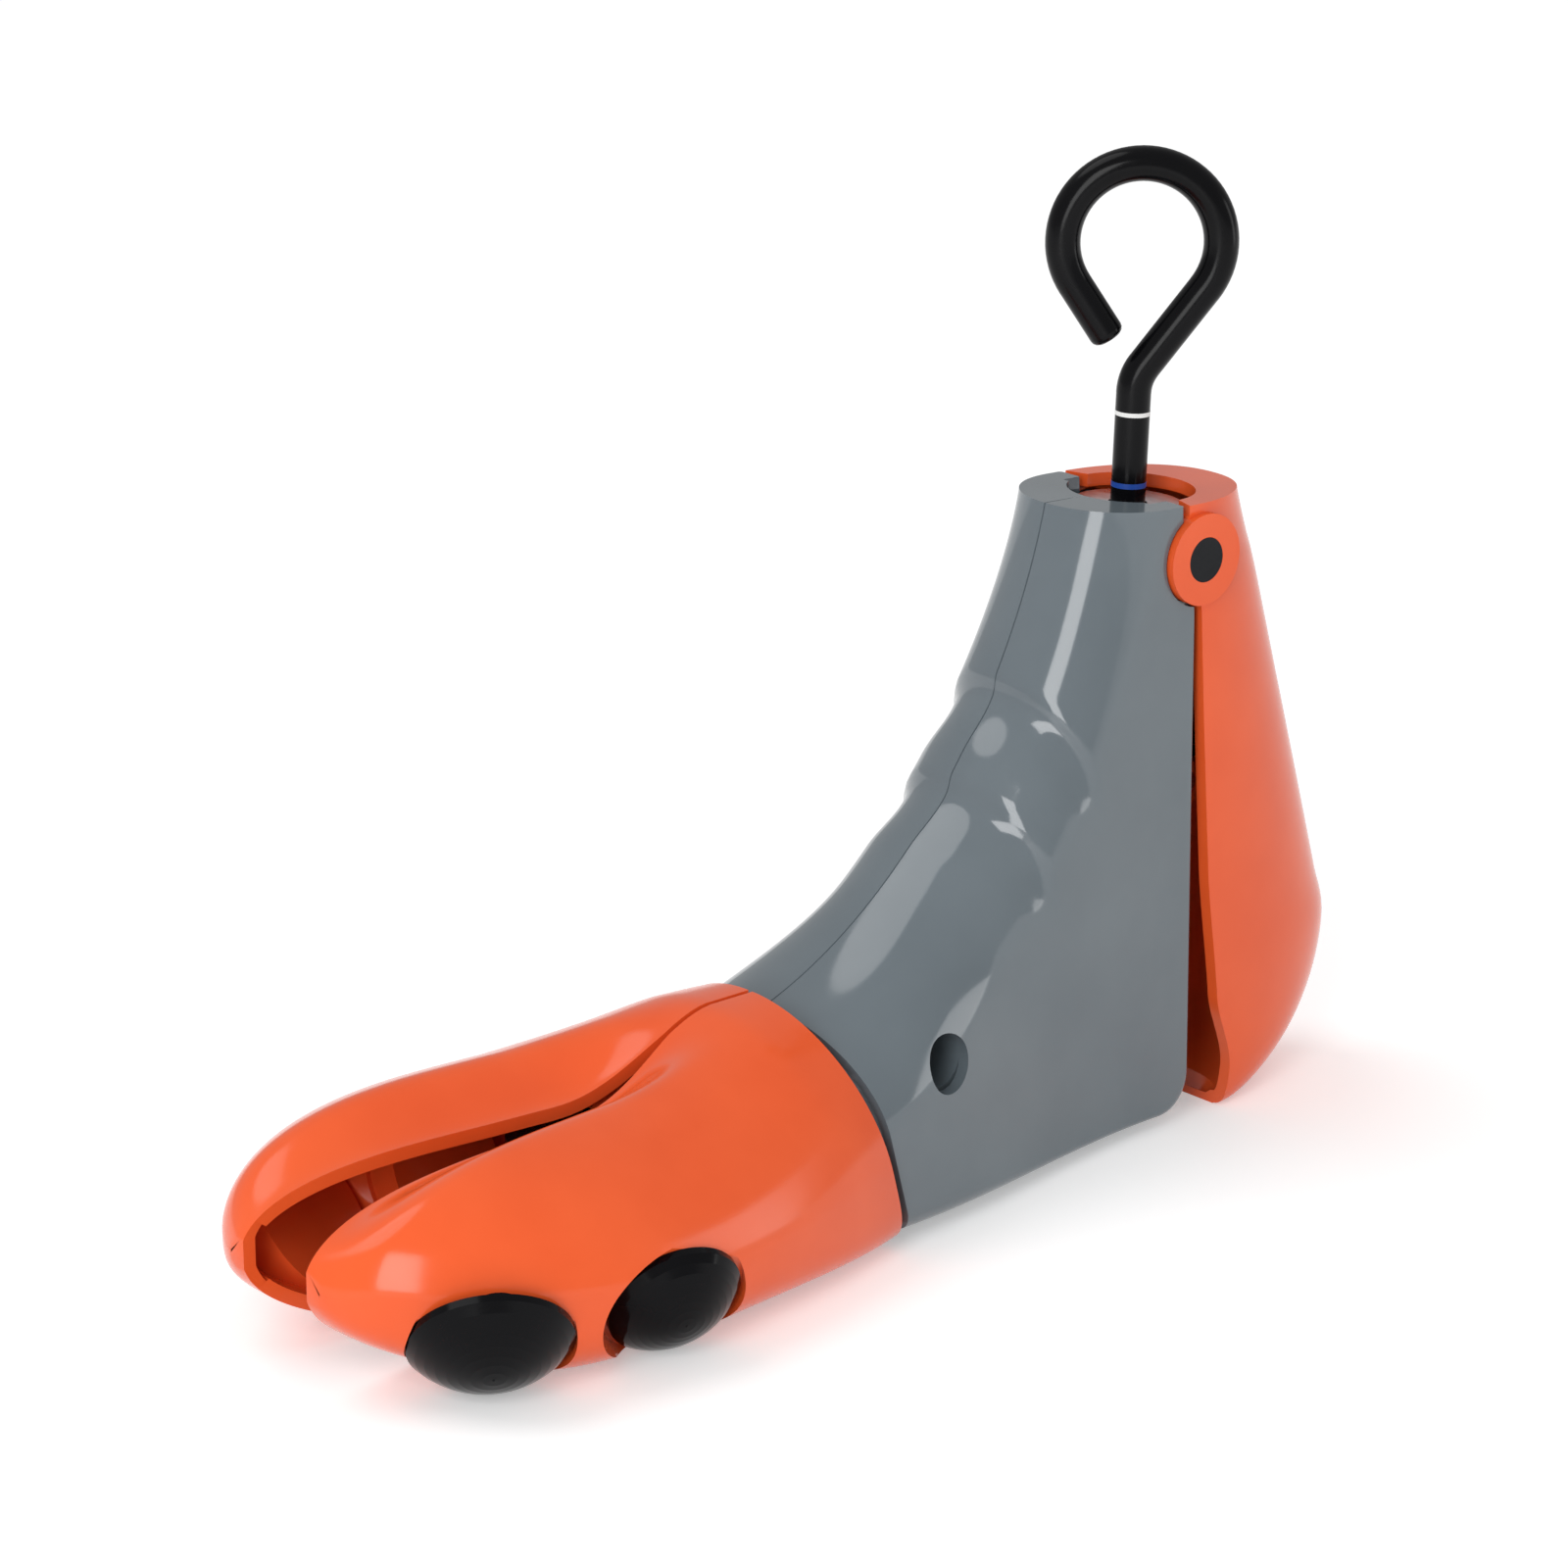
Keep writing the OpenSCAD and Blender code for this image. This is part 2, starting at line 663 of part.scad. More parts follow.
flap_levels = concat(
    [for (k = [0:flap_rows_up - 1]) mix(ankle_h * axis_z, heel_bulge_z, k / flap_rows_up)],
    [for (k = [0:flap_rows_low]) heel_bulge_z - (heel_bulge_z + proud) * sin(84 * k / flap_rows_low) / sin(84)]
);
function flap_row(z) = let (
    x0 = flap_front(z),
    a = max(1, flap_back(z) - x0),
    b = flap_half_w(z),
    tilt = z > ankle_h - 20 ? axis_x * smooth((z - ankle_h + 20) / 20) : 0
) [for (j = [0:flap_cols]) let (
    t = 180 * j / flap_cols,
    x = x0 + a * pow(sin(t), 0.95)
) [x, -b * sgn_pow(cos(t), 0.92), z - tilt * (x - top_centre.x)]];
flap_skin = [for (z = flap_levels) flap_row(z)];
flap_loop = top_centre + 6 * [axis_z, -axis_x];
flap_top_row = [for (p = flap_skin[0]) [
    mix(flap_loop.x, p.x, 0.3), 0.3 * p.y, mix(flap_loop.y, p.z, 0.3)
]];
flap_all = concat([flap_top_row], flap_skin);

// The cross pin in the flap that runs in the drive block's slot
heel_cam = [13.5, 70];
heel_cam_r = 4.4;
rib_y = 10.9;
rib_t = 2.4;
rib_end = 42.8;

module heel_flap() {
    color(orange)
        difference() {
            union() {
                difference() {
                    shell(flap_all, inset(flap_all, wall, keep = 0), cap = true);
                    on_axis(ankle_h - wall - 3)
                        translate([0.8, 0, 0])
                            cylinder(r = mouth_r + 0.6, h = 10);
                    cross_pin(hinge_x, hinge_z, boss_r + play, -recess_y - cap_gap, recess_y + cap_gap);
                    translate([-50, -40, 110])
                        cube([50 + top_back_x + 0.9, 80, 40]);
                }
                for (side = [-1, 1]) {
                    cross_pin(hinge_x, hinge_z, ear_r, side * (recess_y + cap_gap),
                        side * (recess_y + cap_gap + ear_t));
                    cross_pin(heel_cam.x, heel_cam.y, heel_cam_r, side * (rib_y - rib_t / 2),
                        side * (rib_y + rib_t / 2));
                    upright([[heel_cam.x, heel_cam.y - heel_cam_r], [rib_end, heel_cam.y - heel_cam_r],
                        [rib_end - 2, heel_cam.y + heel_cam_r], [heel_cam.x, heel_cam.y + heel_cam_r]],
                        rib_t / 2, side * rib_y);
                }
            }
            cross_pin(hinge_x, hinge_z, hinge_pin_r + fit, -30, 30);
            cross_pin(heel_cam.x, heel_cam.y, slot_pin_r, -20, 20);
        }
}

module hinge_stub(side) {
    color(black)
        cross_pin(hinge_x, hinge_z, hinge_pin_r, side * (boss_in - 1), side * (recess_y + cap_gap + ear_t));
}

module heel_pin_right() {
    hinge_stub(-1);
}

module heel_pin_left() {
    hinge_stub(1);
}

module heel_cam_pin() {
    color(steel)
        cross_pin(heel_cam.x, heel_cam.y, slot_pin_r, -rib_y - rib_t / 2, rib_y + rib_t / 2);
}

// The eye-headed screw, in a frame with the screw's axis as Z and the eye in the XZ plane

eye_turn = -41.2;
leg_run = eye_r * cos(leg_angle);
shank_top = eye_h - eye_r * sin(leg_angle) - (leg_run / tan(leg_angle));
bend_cut = neck_bend_r * tan(leg_angle / 2);
long_leg = leg_run / sin(leg_angle) - bend_cut;
// The straight lengths reach this far into the bends and are this much thinner
lap = 0.3;
lap_r = 0.02;
end_round = 1.6;

module rod_arc(r, angle) {
    rotate([90, 0, 0])
        rotate_extrude(angle = angle, $fn = 96)
            translate([r, 0])
                circle(r = rod_r, $fn = 32);
}

// A rod from a little below z = 0 to h, with its far edge rounded
module rounded_end(r, h) {
    rotate_extrude()
        polygon(concat(
            [[0, -lap], [r, -lap]],
            [for (a = [0:22.5:90]) [r - end_round + end_round * cos(a), h - end_round + end_round * sin(a)]],
            [[0, h]]
        ));
}

module screw_rod() {
    color(steel)
        on_axis(0)
            rotate([0, 0, eye_turn]) {
                translate([0, 0, screw_end])
                    cylinder(r = rod_r - lap_r, h = shank_top - bend_cut - screw_end + lap);
                translate([neck_bend_r, 0, shank_top - bend_cut])
                    rotate([0, leg_angle - 180, 0])
                        rod_arc(neck_bend_r, leg_angle);
                translate([leg_run, 0, eye_h - eye_r * sin(leg_angle)])
                    rotate([0, 180 + leg_angle, 0])
                        translate([0, 0, -lap])
                            cylinder(r = rod_r - lap_r, h = long_leg + 2 * lap);
                translate([0, 0, eye_h])
                    rotate([0, leg_angle, 0])
                        rod_arc(eye_r, 180 + 2 * leg_angle);
                translate([-leg_run, 0, eye_h - eye_r * sin(leg_angle)])
                    rotate([0, 180 - leg_angle, 0])
                        rounded_end(rod_r - lap_r, leg_len);
            }
}

module guide_disc() {
    color(steel)
        on_axis(disc_low)
            tube(disc_r, rod_r + 0.4, disc_t);
}

module lead_nut() {
    color(steel)
        on_axis(nut_low)
            difference() {
                cylinder(r = nut_flats / 2 / cos(30), h = nut_h, $fn = 6);
                translate([0, 0, -1])
                    cylinder(r = rod_r + fit, h = nut_h + 2);
            }
}

// The drive block hangs on the screw between a washer and a clip
block_low_s = 58;
block_high_s = 92;
washer_t = 1.2;
collar_t = 5;
clip_s = 64;
clip_t = 1.2;
pocket_r = 6.4;

module thrust_washer() {
    color(steel)
        on_axis(block_high_s)
            tube(7, rod_r + 0.4, washer_t);
}

module thrust_collar() {
    color(steel)
        on_axis(block_high_s + washer_t + fit)
            tube(6.2, rod_r, collar_t);
}

module retaining_clip() {
    color(steel)
        on_axis(clip_s)
            tube(5.8, rod_r, clip_t);
}

// Where the push bar's cross pin is at rest, and how far it moves in the block's own frame
bar_pin = [-14, 30];
bar_run = [-push_travel + stroke * axis_x, stroke * axis_z];
heel_run = [
    (hinge_z - heel_cam.y) * sin(heel_swing) + stroke * axis_x,
    (heel_cam.x - hinge_x) * sin(heel_swing) + (hinge_z - heel_cam.y) * (1 - cos(heel_swing)) + stroke * axis_z
];
slot_r = slot_pin_r + 0.3;

// The XZ place of a point that is x in front of the axis and s up it
function at(x, s) = [x * axis_z + s * axis_x, s * axis_z - x * axis_x];

module drive_block() {
    arm_half = 4;
    color(black)
        difference() {
            union() {
                upright([at(-9, block_low_s), at(9, block_low_s), [18, 65], [25, 82], [25, 90],
                    at(9, block_high_s), at(-9, block_high_s)], block_half_w);
                upright([[-9, 24], [-20, 24], [-28, 40], [-28, 50], [-18, 52], [-4.4, 72], [-4.4, 60],
                    [-9, 55]], arm_half);
            }
            on_axis(block_low_s - 1)
                cylinder(r = rod_r + fit, h = 40);
            on_axis(block_low_s - 1)
                cylinder(r = pocket_r, h = clip_s + clip_t + fit - block_low_s + 1);
            upright(stadium(heel_cam, heel_run, slot_r), block_half_w + 1);
            upright(stadium(bar_pin, bar_run, slot_r), arm_half + 1);
        }
}

module push_bar_pin() {
    color(steel)
        cross_pin(bar_pin.x, bar_pin.y, slot_pin_r, -8, 8);
}

plate_low = 24;
plate_t = 5.6;
riser_x = -104;
plate_screw_x = -108;

module push_bar() {
    cheek_in = 4.3;
    fork_x = -35;
    color(black)
        difference() {
            union() {
                translate([riser_x - 8, -bar_half, bar_low])
                    cube([-riser_x, 2 * bar_half, bar_h - 0.4]);
                translate([riser_x - 8, -bar_half, bar_low])
                    cube([8, 2 * bar_half, plate_low - bar_low]);
                for (side = [-1, 1])
                    upright([[-8, bar_low], [-22, bar_low], [-20, 34], [-17, 36], [-11, 36], [-8, 34]],
                        (8 - cheek_in) / 2, side * (8 + cheek_in) / 2);
            }
            cross_pin(bar_pin.x, bar_pin.y, slot_pin_r, -9, 9);
            translate([fork_x, -cheek_in, bar_low - 1])
                cube([0 - fork_x, 2 * cheek_in, 30]);
            translate([plate_screw_x, 0, bar_low + 2])
                cylinder(r = 1.9, h = 20);
        }
}

// The plate is widest where its slots are, and round at its front end
wing_y = 16.6;
wing_x = [-133, -113];
nose_r = 11;
nose_x = -146;
spreader_edge = concat(
    [[riser_x, -nose_r], [wing_x[1], -nose_r], [wing_x[1], -wing_y], [wing_x[0], -wing_y]],
    [for (k = [0:20]) [nose_x, 0] - nose_r * [sin(9 * k), cos(9 * k)]],
    [[wing_x[0], wing_y], [wing_x[1], wing_y], [wing_x[1], nose_r], [riser_x, nose_r]]
);
cam_out = (cam_x - toe_hinge_x) * sin(-toe_swing) - (cam_y - toe_hinge_y) * (1 - cos(toe_swing));

module spreader() {
    color(black)
        translate([0, 0, plate_low])
            difference() {
                linear_extrude(plate_t)
                    difference() {
                        polygon(spreader_edge);
                        for (side = [-1, 1])
                            polygon(stadium([cam_x, side * cam_y], [push_travel, side * cam_out], toe_pin_r + 0.3));
                    }
                translate([plate_screw_x, 0, -1])
                    cylinder(r = 1.9, h = 20);
            }
}

module spreader_screw() {
    color(steel) {
        translate([plate_screw_x, 0, bar_low + 2])
            cylinder(r = 1.9, h = plate_low + plate_t - bar_low - 2);
        translate([plate_screw_x, 0, plate_low + plate_t])
            cylinder(r = 3.4, h = 1.6);
    }
}

body_right();
body_left();
body_screw();
heel_flap();
heel_pin_right();
heel_pin_left();
heel_cam_pin();
toe_right();
toe_left();
toe_pivot_pin_right();
toe_pivot_pin_left();
toe_cam_pin_right();
toe_cam_pin_left();
screw_rod();
guide_disc();
lead_nut();
thrust_collar();
thrust_washer();
retaining_clip();
drive_block();
push_bar();
push_bar_pin();
spreader();
spreader_screw();
plug_front();
plug_rear();
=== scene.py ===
import math
from collections import namedtuple

import bmesh
import bpy
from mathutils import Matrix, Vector


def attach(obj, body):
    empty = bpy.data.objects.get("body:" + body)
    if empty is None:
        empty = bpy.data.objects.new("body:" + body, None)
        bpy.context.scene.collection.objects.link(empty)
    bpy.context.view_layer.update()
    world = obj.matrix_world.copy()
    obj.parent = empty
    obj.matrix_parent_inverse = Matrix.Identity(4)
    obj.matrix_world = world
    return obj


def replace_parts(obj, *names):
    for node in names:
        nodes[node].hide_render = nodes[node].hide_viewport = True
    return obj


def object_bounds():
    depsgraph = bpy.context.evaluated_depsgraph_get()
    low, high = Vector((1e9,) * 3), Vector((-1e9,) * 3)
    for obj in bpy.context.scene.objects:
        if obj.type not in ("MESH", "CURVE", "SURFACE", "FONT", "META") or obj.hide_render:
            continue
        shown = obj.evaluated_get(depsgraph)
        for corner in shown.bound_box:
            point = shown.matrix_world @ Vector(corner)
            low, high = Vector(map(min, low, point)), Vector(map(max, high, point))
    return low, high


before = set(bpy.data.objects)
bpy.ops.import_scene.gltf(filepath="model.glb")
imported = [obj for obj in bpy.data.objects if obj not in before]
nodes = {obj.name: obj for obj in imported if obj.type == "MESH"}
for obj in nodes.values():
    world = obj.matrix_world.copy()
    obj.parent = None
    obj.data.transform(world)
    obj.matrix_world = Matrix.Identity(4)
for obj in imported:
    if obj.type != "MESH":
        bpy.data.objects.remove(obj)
cad_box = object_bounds()

# Shoe stretcher. Fine moulded shells for the body, the toe halves and the heel flap take the place
# of the solids' plainer ones. The toe points to -X, the heel to +X, and Z is up from the sole.
# Each half is made on the near side, -Y, and mirrored for the far one. Sizes are in millimetres,
# as in the solids, and meshes in metres.

MM = 0.001

WALL = 2.8
FIT = 0.05
PLAY = 0.5
# The heel and the toe reach this far below the body's sole
PROUD = 3.0

# Ankle and back. The screw's axis leans by LEAN, and ANKLE_H is measured along it
LEAN = math.radians(2.8)
ROD_R = 3.65
ANKLE_H = 133.0
ANKLE_FRONT = 23.9
ANKLE_HALF_W = 18.3
MOUTH_R = 12.8
# The joint between body and flap crosses the top this far in front of the axis
TOP_JOINT = 1.8
BACK_X = 8.6
BACK_HALF_W = 20.4
BACK_CORNER_R = 8.0
# From this height on, and over this run, the back edge leans in towards the axis
BACK_BEND_Z = 108
BACK_BEND_H = 25

# Neck, between body and toe
NECK_X = -93.0
NECK_TOP = 43.5
NECK_HALF_W = 31.5
NECK_SLOPE = math.tan(math.radians(15))

# Finger dents: place down the ridge, half length along it, and reach away from it
DENT_DEPTH = 1.5
DENTS = ((45, 9, 25), (67, 9, 27))
# How much a dent slants as it goes round. Then, in half lengths: the run of its crisp upper edge,
# and where its fall starts and its run. Last, the length over which it fades at its point
DENT_SLANT = 0.15
DENT_EDGE = 0.5
DENT_FALL_START, DENT_FALL = -0.4, 1.4
DENT_FADE = 18
SEAM_HALF_W = 0.2
SEAM_DEPTH = 0.4

# Toe
TOE_TIP_X = -216.0
BALL_X = -157.0
BALL_HALF_W = 47.0
CROWN_Z = 43.5
INNER_EDGE_Z = 35.0
TIP_HALF_GAP = 9.5
TIP_Z = 21.0

# Heel flap, with the X and Z of its hinge and of its cam pin
HINGE = (9.8, 121.0)
HEEL_CAM = (13.5, 70.0)
HEEL_BACK_X = 63.0
HEEL_TOP_X = 31.7
HEEL_BULGE_Z = 31.0
HEEL_HALF_W = 21.5
HEEL_CENTRE_X = 22.0

# Unit vector along the screw's axis, and the axis's point at the ankle's top, in X and Z
AXIS = (math.sin(LEAN), math.cos(LEAN))
TOP = (ANKLE_H * AXIS[0], ANKLE_H * AXIS[1])
TOP_FRONT = (TOP[0] - ANKLE_FRONT * AXIS[1], TOP[1] + ANKLE_FRONT * AXIS[0])
TOP_BACK_X = TOP[0] - TOP_JOINT
NECK_SOLE_X = NECK_X + NECK_TOP * NECK_SLOPE


def mix(a, b, t):
    return a + (b - a) * t


def clamp01(t):
    return max(0.0, min(1.0, t))


def smooth(t):
    u = clamp01(t)
    return u * u * (3 - 2 * u)


def signed_pow(v, p):
    return math.copysign(abs(v) ** p, v)


def ring(r, sides):
    """The corners of a regular outline."""
    angles = [math.tau * k / sides for k in range(sides)]
    return [(r * math.cos(a), r * math.sin(a)) for a in angles]


# Materials: moulded plastic and metal, each with fine variation in colour, gloss and surface

def empty_material(name):
    mat = bpy.data.materials.new(name)
    mat.use_nodes = True
    tree = mat.node_tree
    tree.nodes.clear()
    return mat, tree, tree.nodes.new("ShaderNodeOutputMaterial")


def new_material(name):
    mat, tree, out = empty_material(name)
    bsdf = tree.nodes.new("ShaderNodeBsdfPrincipled")
    tree.links.new(bsdf.outputs["BSDF"], out.inputs["Surface"])
    return mat, tree, bsdf, tree.nodes.new("ShaderNodeTexCoord").outputs["Object"]


def noise(tree, place, scale, detail):
    n = tree.nodes.new("ShaderNodeTexNoise")
    n.inputs["Scale"].default_value = scale
    n.inputs["Detail"].default_value = detail
    tree.links.new(place, n.inputs["Vector"])
    return n.outputs["Fac"]


def vary_colour(tree, bsdf, source, low, high):
    ramp = tree.nodes.new("ShaderNodeValToRGB")
    for element, position, colour in zip(ramp.color_ramp.elements, (0.3, 0.7), (low, high)):
        element.position = position
        element.color = (*colour, 1)
    tree.links.new(source, ramp.inputs["Fac"])
    tree.links.new(ramp.outputs["Color"], bsdf.inputs["Base Color"])


def vary_roughness(tree, bsdf, source, low, high):
    spread = tree.nodes.new("ShaderNodeMapRange")
    spread.inputs["To Min"].default_value = low
    spread.inputs["To Max"].default_value = high
    tree.links.new(source, spread.inputs["Value"])
    tree.links.new(spread.outputs["Result"], bsdf.inputs["Roughness"])


def bump(tree, bsdf, source, strength, distance):
    b = tree.nodes.new("ShaderNodeBump")
    b.inputs["Strength"].default_value = strength
    b.inputs["Distance"].default_value = distance
    tree.links.new(source, b.inputs["Height"])
    tree.links.new(b.outputs["Normal"], bsdf.inputs["Normal"])


def moulded(name, low, high, rough, gloss=0.3, ripple=0.05):
    """Injection-moulded plastic, or paint: a soft mottle in its colour, a fine grain in its
    roughness, and the faint waviness of a cooled wall."""
    mat, tree, bsdf, place = new_material(name)
    mottle = noise(tree, place, 38.0, 3.0)
    grain = noise(tree, place, 900.0, 2.0)
    wave = noise(tree, place, 60.0, 1.0)
    vary_colour(tree, bsdf, mottle, low, high)
    vary_roughness(tree, bsdf, grain, *rough)
    bump(tree, bsdf, wave, ripple, 0.002)
    bsdf.inputs["Specular IOR Level"].default_value = gloss
    return mat


def metal(name, low, high, rough):
    """Bare metal with fine marks round it, as from turning or drawing."""
    mat, tree, bsdf, place = new_material(name)
    mapping = tree.nodes.new("ShaderNodeMapping")
    mapping.inputs["Scale"].default_value = (1, 1, 40)
    tree.links.new(place, mapping.inputs["Vector"])
    marks = noise(tree, mapping.outputs["Vector"], 160.0, 2.0)
    vary_colour(tree, bsdf, marks, low, high)
    vary_roughness(tree, bsdf, marks, *rough)
    bump(tree, bsdf, marks, 0.04, 0.0004)
    bsdf.inputs["Metallic"].default_value = 1.0
    return mat


GREY = moulded("grey_moulded", (0.116, 0.142, 0.160), (0.134, 0.163, 0.182),
               (0.08, 0.13), gloss=0.6, ripple=0.02)
ORANGE = moulded("orange_moulded", (0.80, 0.098, 0.020), (0.86, 0.116, 0.027),
                 (0.13, 0.20), gloss=0.35, ripple=0.03)
BLACK = moulded("black_moulded", (0.002, 0.002, 0.0025), (0.004, 0.004, 0.005),
                (0.1, 0.18), gloss=0.1)
CHARCOAL = moulded("charcoal_pin", (0.006, 0.0065, 0.008), (0.012, 0.013, 0.015),
                   (0.42, 0.6), gloss=0.12, ripple=0.15)
BLACK_METAL = moulded("black_metal", (0.002, 0.002, 0.0025), (0.004, 0.004, 0.005),
                      (0.12, 0.22), gloss=0.13)
STEEL = metal("steel", (0.48, 0.48, 0.50), (0.66, 0.66, 0.68), (0.22, 0.38))
WHITE_PAINT = moulded("white_paint", (0.78, 0.78, 0.76), (0.86, 0.86, 0.85), (0.35, 0.5))
BLUE_PAINT = moulded("blue_paint", (0.010, 0.055, 0.30), (0.018, 0.075, 0.38), (0.3, 0.45))

# What isn't named here is steel
NODE_MATERIALS = {
    "heel_pin_right": CHARCOAL, "heel_pin_left": CHARCOAL,
    "drive_block": BLACK, "push_bar": BLACK, "spreader": BLACK,
    "plug_front": BLACK, "plug_rear": BLACK, "screw_rod": BLACK_METAL,
}
for name, obj in nodes.items():
    obj.data.materials.clear()
    obj.data.materials.append(NODE_MATERIALS.get(name, STEEL))


# The body's outline: slices that fan from the front ridge to the back edge, the rounded corner
# and the sole, from t = 0 at the ankle's top to t = 1 at the neck. A grid is a list of such rows

# Share of the slices that end on the back edge, and on the back edge or the corner
BACK_SHARE = 0.62
CORNER_SHARE = 0.74
# The ridge's Bezier points, in X and Z
RIDGE = (TOP_FRONT, (TOP_FRONT[0] - 7.9, TOP_FRONT[1] - 33.8),
         (NECK_X + 41.5, NECK_TOP + 14.5), (NECK_X, NECK_TOP))
# Values at the top, at the corner and at the neck: how far back from the ridge the rounded front
# goes, the half width there and at the back, and the rounding between flank and back
FRONT_DEPTHS = (18.5, 20.5, 22)
FRONT_HALF_WS = (ANKLE_HALF_W, 23, NECK_HALF_W)
BACK_HALF_WS = (ANKLE_HALF_W, BACK_HALF_W, NECK_HALF_W)
FLANK_ROUNDINGS = (0.8, 3, 6)
LEAST_ROUNDING = 0.6
ROUND_POW = 0.95
FRONT_STEPS, FLANK_STEPS, ROUNDING_STEPS, BODY_ROWS = 36, 16, 8, 96
# The inner edge of a flat top, as a share of the outline
TOP_PLATE_SHARE = 0.3
# The tongue that reaches under the toe halves
TONGUE_LEN = 10
TONGUE_STEP = 2.2
NECK_WALL = WALL + 1.2
STEP_RUN = 0.3


def bezier(points, t):
    u = 1 - t
    return tuple(u ** 3 * a + 3 * u * u * t * b + 3 * u * t * t * c + t ** 3 * d
                 for a, b, c, d in zip(*points))


def back_edge(z):
    return BACK_X - (BACK_X - TOP_BACK_X) * smooth((z - BACK_BEND_Z) / BACK_BEND_H)


def base_point(t):
    """Where slice t ends, in X and Z: on the back edge, round the corner, or along the sole."""
    r = BACK_CORNER_R
    if t < BACK_SHARE:
        z = mix(TOP[1] + TOP_JOINT * AXIS[0], r, t / BACK_SHARE)
        return back_edge(z), z
    if t < CORNER_SHARE:
        a = math.radians(90 * (t - BACK_SHARE) / (CORNER_SHARE - BACK_SHARE))
        return BACK_X - r + r * math.cos(a), r - r * math.sin(a)
    return mix(BACK_X - r, NECK_SOLE_X, (t - CORNER_SHARE) / (1 - CORNER_SHARE)), 0.0


def body_value(values, t):
    """A value at slice t, from those at the top, at the corner and at the neck."""
    a, b, c = values
    if t < CORNER_SHARE:
        return mix(a, b, smooth(t / CORNER_SHARE))
    return mix(b, c, smooth((t - CORNER_SHARE) / (1 - CORNER_SHARE)))


def leaf(s, q, start, half, reach):
    """A finger dent's depth as a share, s down the ridge and q away from it. It is crisp along its
    upper edge, fades downwards, and narrows to a point at its reach."""
    narrowed = half * (1 - min(q / reach, 1) ** 2)
    u = (s - start - DENT_SLANT * q) / max(narrowed, 0.01)
    if abs(u) >= 1:
        return 0.0
    edge = smooth((u + 1) / DENT_EDGE)
    fall = 1 - smooth((u - DENT_FALL_START) / DENT_FALL)
    return edge * fall * smooth((reach - q) / DENT_FADE)


def dent(s, q):
    return DENT_DEPTH * min(1.0, sum(leaf(s, q, *place) for place in DENTS))


def body_slice(t, g=0.0, seam=0.0):
    """Half of slice t, drawn in by g on all its sides. Its points go from the ridge, where a seam
    may be sunk, round the near side to the middle of its base."""
    ridge = bezier(RIDGE, t * (0.86 + 0.14 * t))
    base = base_point(t)
    full = math.dist(ridge, base)
    run = full - 2 * g
    along = ((base[0] - ridge[0]) / full, (base[1] - ridge[1]) / full)
    start = (ridge[0] + g * along[0], ridge[1] + g * along[1])
    depth = body_value(FRONT_DEPTHS, t) - g
    front_w = body_value(FRONT_HALF_WS, t) - g
    back_w = body_value(BACK_HALF_WS, t) - g
    rounding = max(LEAST_ROUNDING, body_value(FLANK_ROUNDINGS, t) - g)
    s = math.dist(ridge, TOP_FRONT)
    # The first angle past the ridge is the seam's edge
    angles = [0, math.asin((SEAM_HALF_W / front_w) ** (1 / ROUND_POW))]
    angles += [math.radians(90 * k / FRONT_STEPS) for k in range(1, FRONT_STEPS + 1)]
    points = []
    for a in angles:
        q = depth * (1 - max(0.0, math.cos(a)) ** ROUND_POW)
        sunk = dent(s, q) + (seam if a == 0 else 0)
        points.append((q + sunk * math.cos(a),
                       front_w * math.sin(a) ** ROUND_POW - sunk * math.sin(a)))
    for k in range(1, FLANK_STEPS + 1):
        u = k / FLANK_STEPS
        points.append((mix(depth, run - rounding, u), mix(front_w, back_w, smooth(u))))
    for k in range(1, ROUNDING_STEPS + 1):
        a = math.radians(90 * k / ROUNDING_STEPS)
        points.append((run - rounding + rounding * math.sin(a),
                       back_w - rounding + rounding * math.cos(a)))
    for u in (0.5, 1.0):
        points.append((run, (back_w - rounding) * (1 - u)))
    return [Vector((start[0] + along[0] * q, -y, start[1] + along[1] * q)) for q, y in points]


def leaned(u, v, w):
    return u * AXIS[1] + w * AXIS[0], v, w * AXIS[1] - u * AXIS[0]


def on_axis(s, x=0.0):
    """A point s along the screw's axis, and x behind it."""
    return leaned(x, 0.0, s)


def shifted(row, v):
    return [p + v for p in row]


def top_plate(row, x):
    """A row drawn in towards a point of the ankle's top, x behind the axis: the inner edge of a
    flat top, where the mouth is cut."""
    cx, _, cz = on_axis(ANKLE_H, x)
    share = TOP_PLATE_SHARE
    return [Vector((mix(cx, p.x, share), share * p.y, mix(cz, p.z, share))) for p in row]


def neck_rows(g, runs):
    """The slice at the neck, drawn in by g, at each run in front of it."""
    return [shifted(body_slice(1, g), Vector((-run, 0, 0))) for run in runs]


def body_grids():
    shares = [k / BODY_ROWS for k in range(BODY_ROWS + 1)]
    top = top_plate(body_slice(0), -6.5)
    down = Vector((-AXIS[0], 0, -AXIS[1]))
    outer = [top] + [body_slice(t, seam=SEAM_DEPTH) for t in shares]
    outer += neck_rows(TONGUE_STEP, (STEP_RUN, TONGUE_LEN))
    # The seam runs on over the top, from the ridge to the mouth
    outer[0] = [top[0] + SEAM_DEPTH * down] + top[1:]
    outer[1][0] += SEAM_DEPTH * down
    inner = [shifted(top, WALL * down), shifted(body_slice(0, WALL), WALL * down)]
    inner += [body_slice(t, WALL) for t in shares[1:-1]]
    inner += neck_rows(NECK_WALL, (0, STEP_RUN, TONGUE_LEN))
    return outer, inner


# The toe halves' outline: stations along X from the rim at the neck, where they are sheared to its
# slope, to the tip. Points run from the top inner edge over the crown to the bottom inner edge

RIM_X = NECK_SOLE_X - 3
# The slit between the halves widens from GAP_START to its full width GAP_RUN in front of it
LEAST_HALF_GAP = 0.6
GAP_START, GAP_RUN = -105, 105
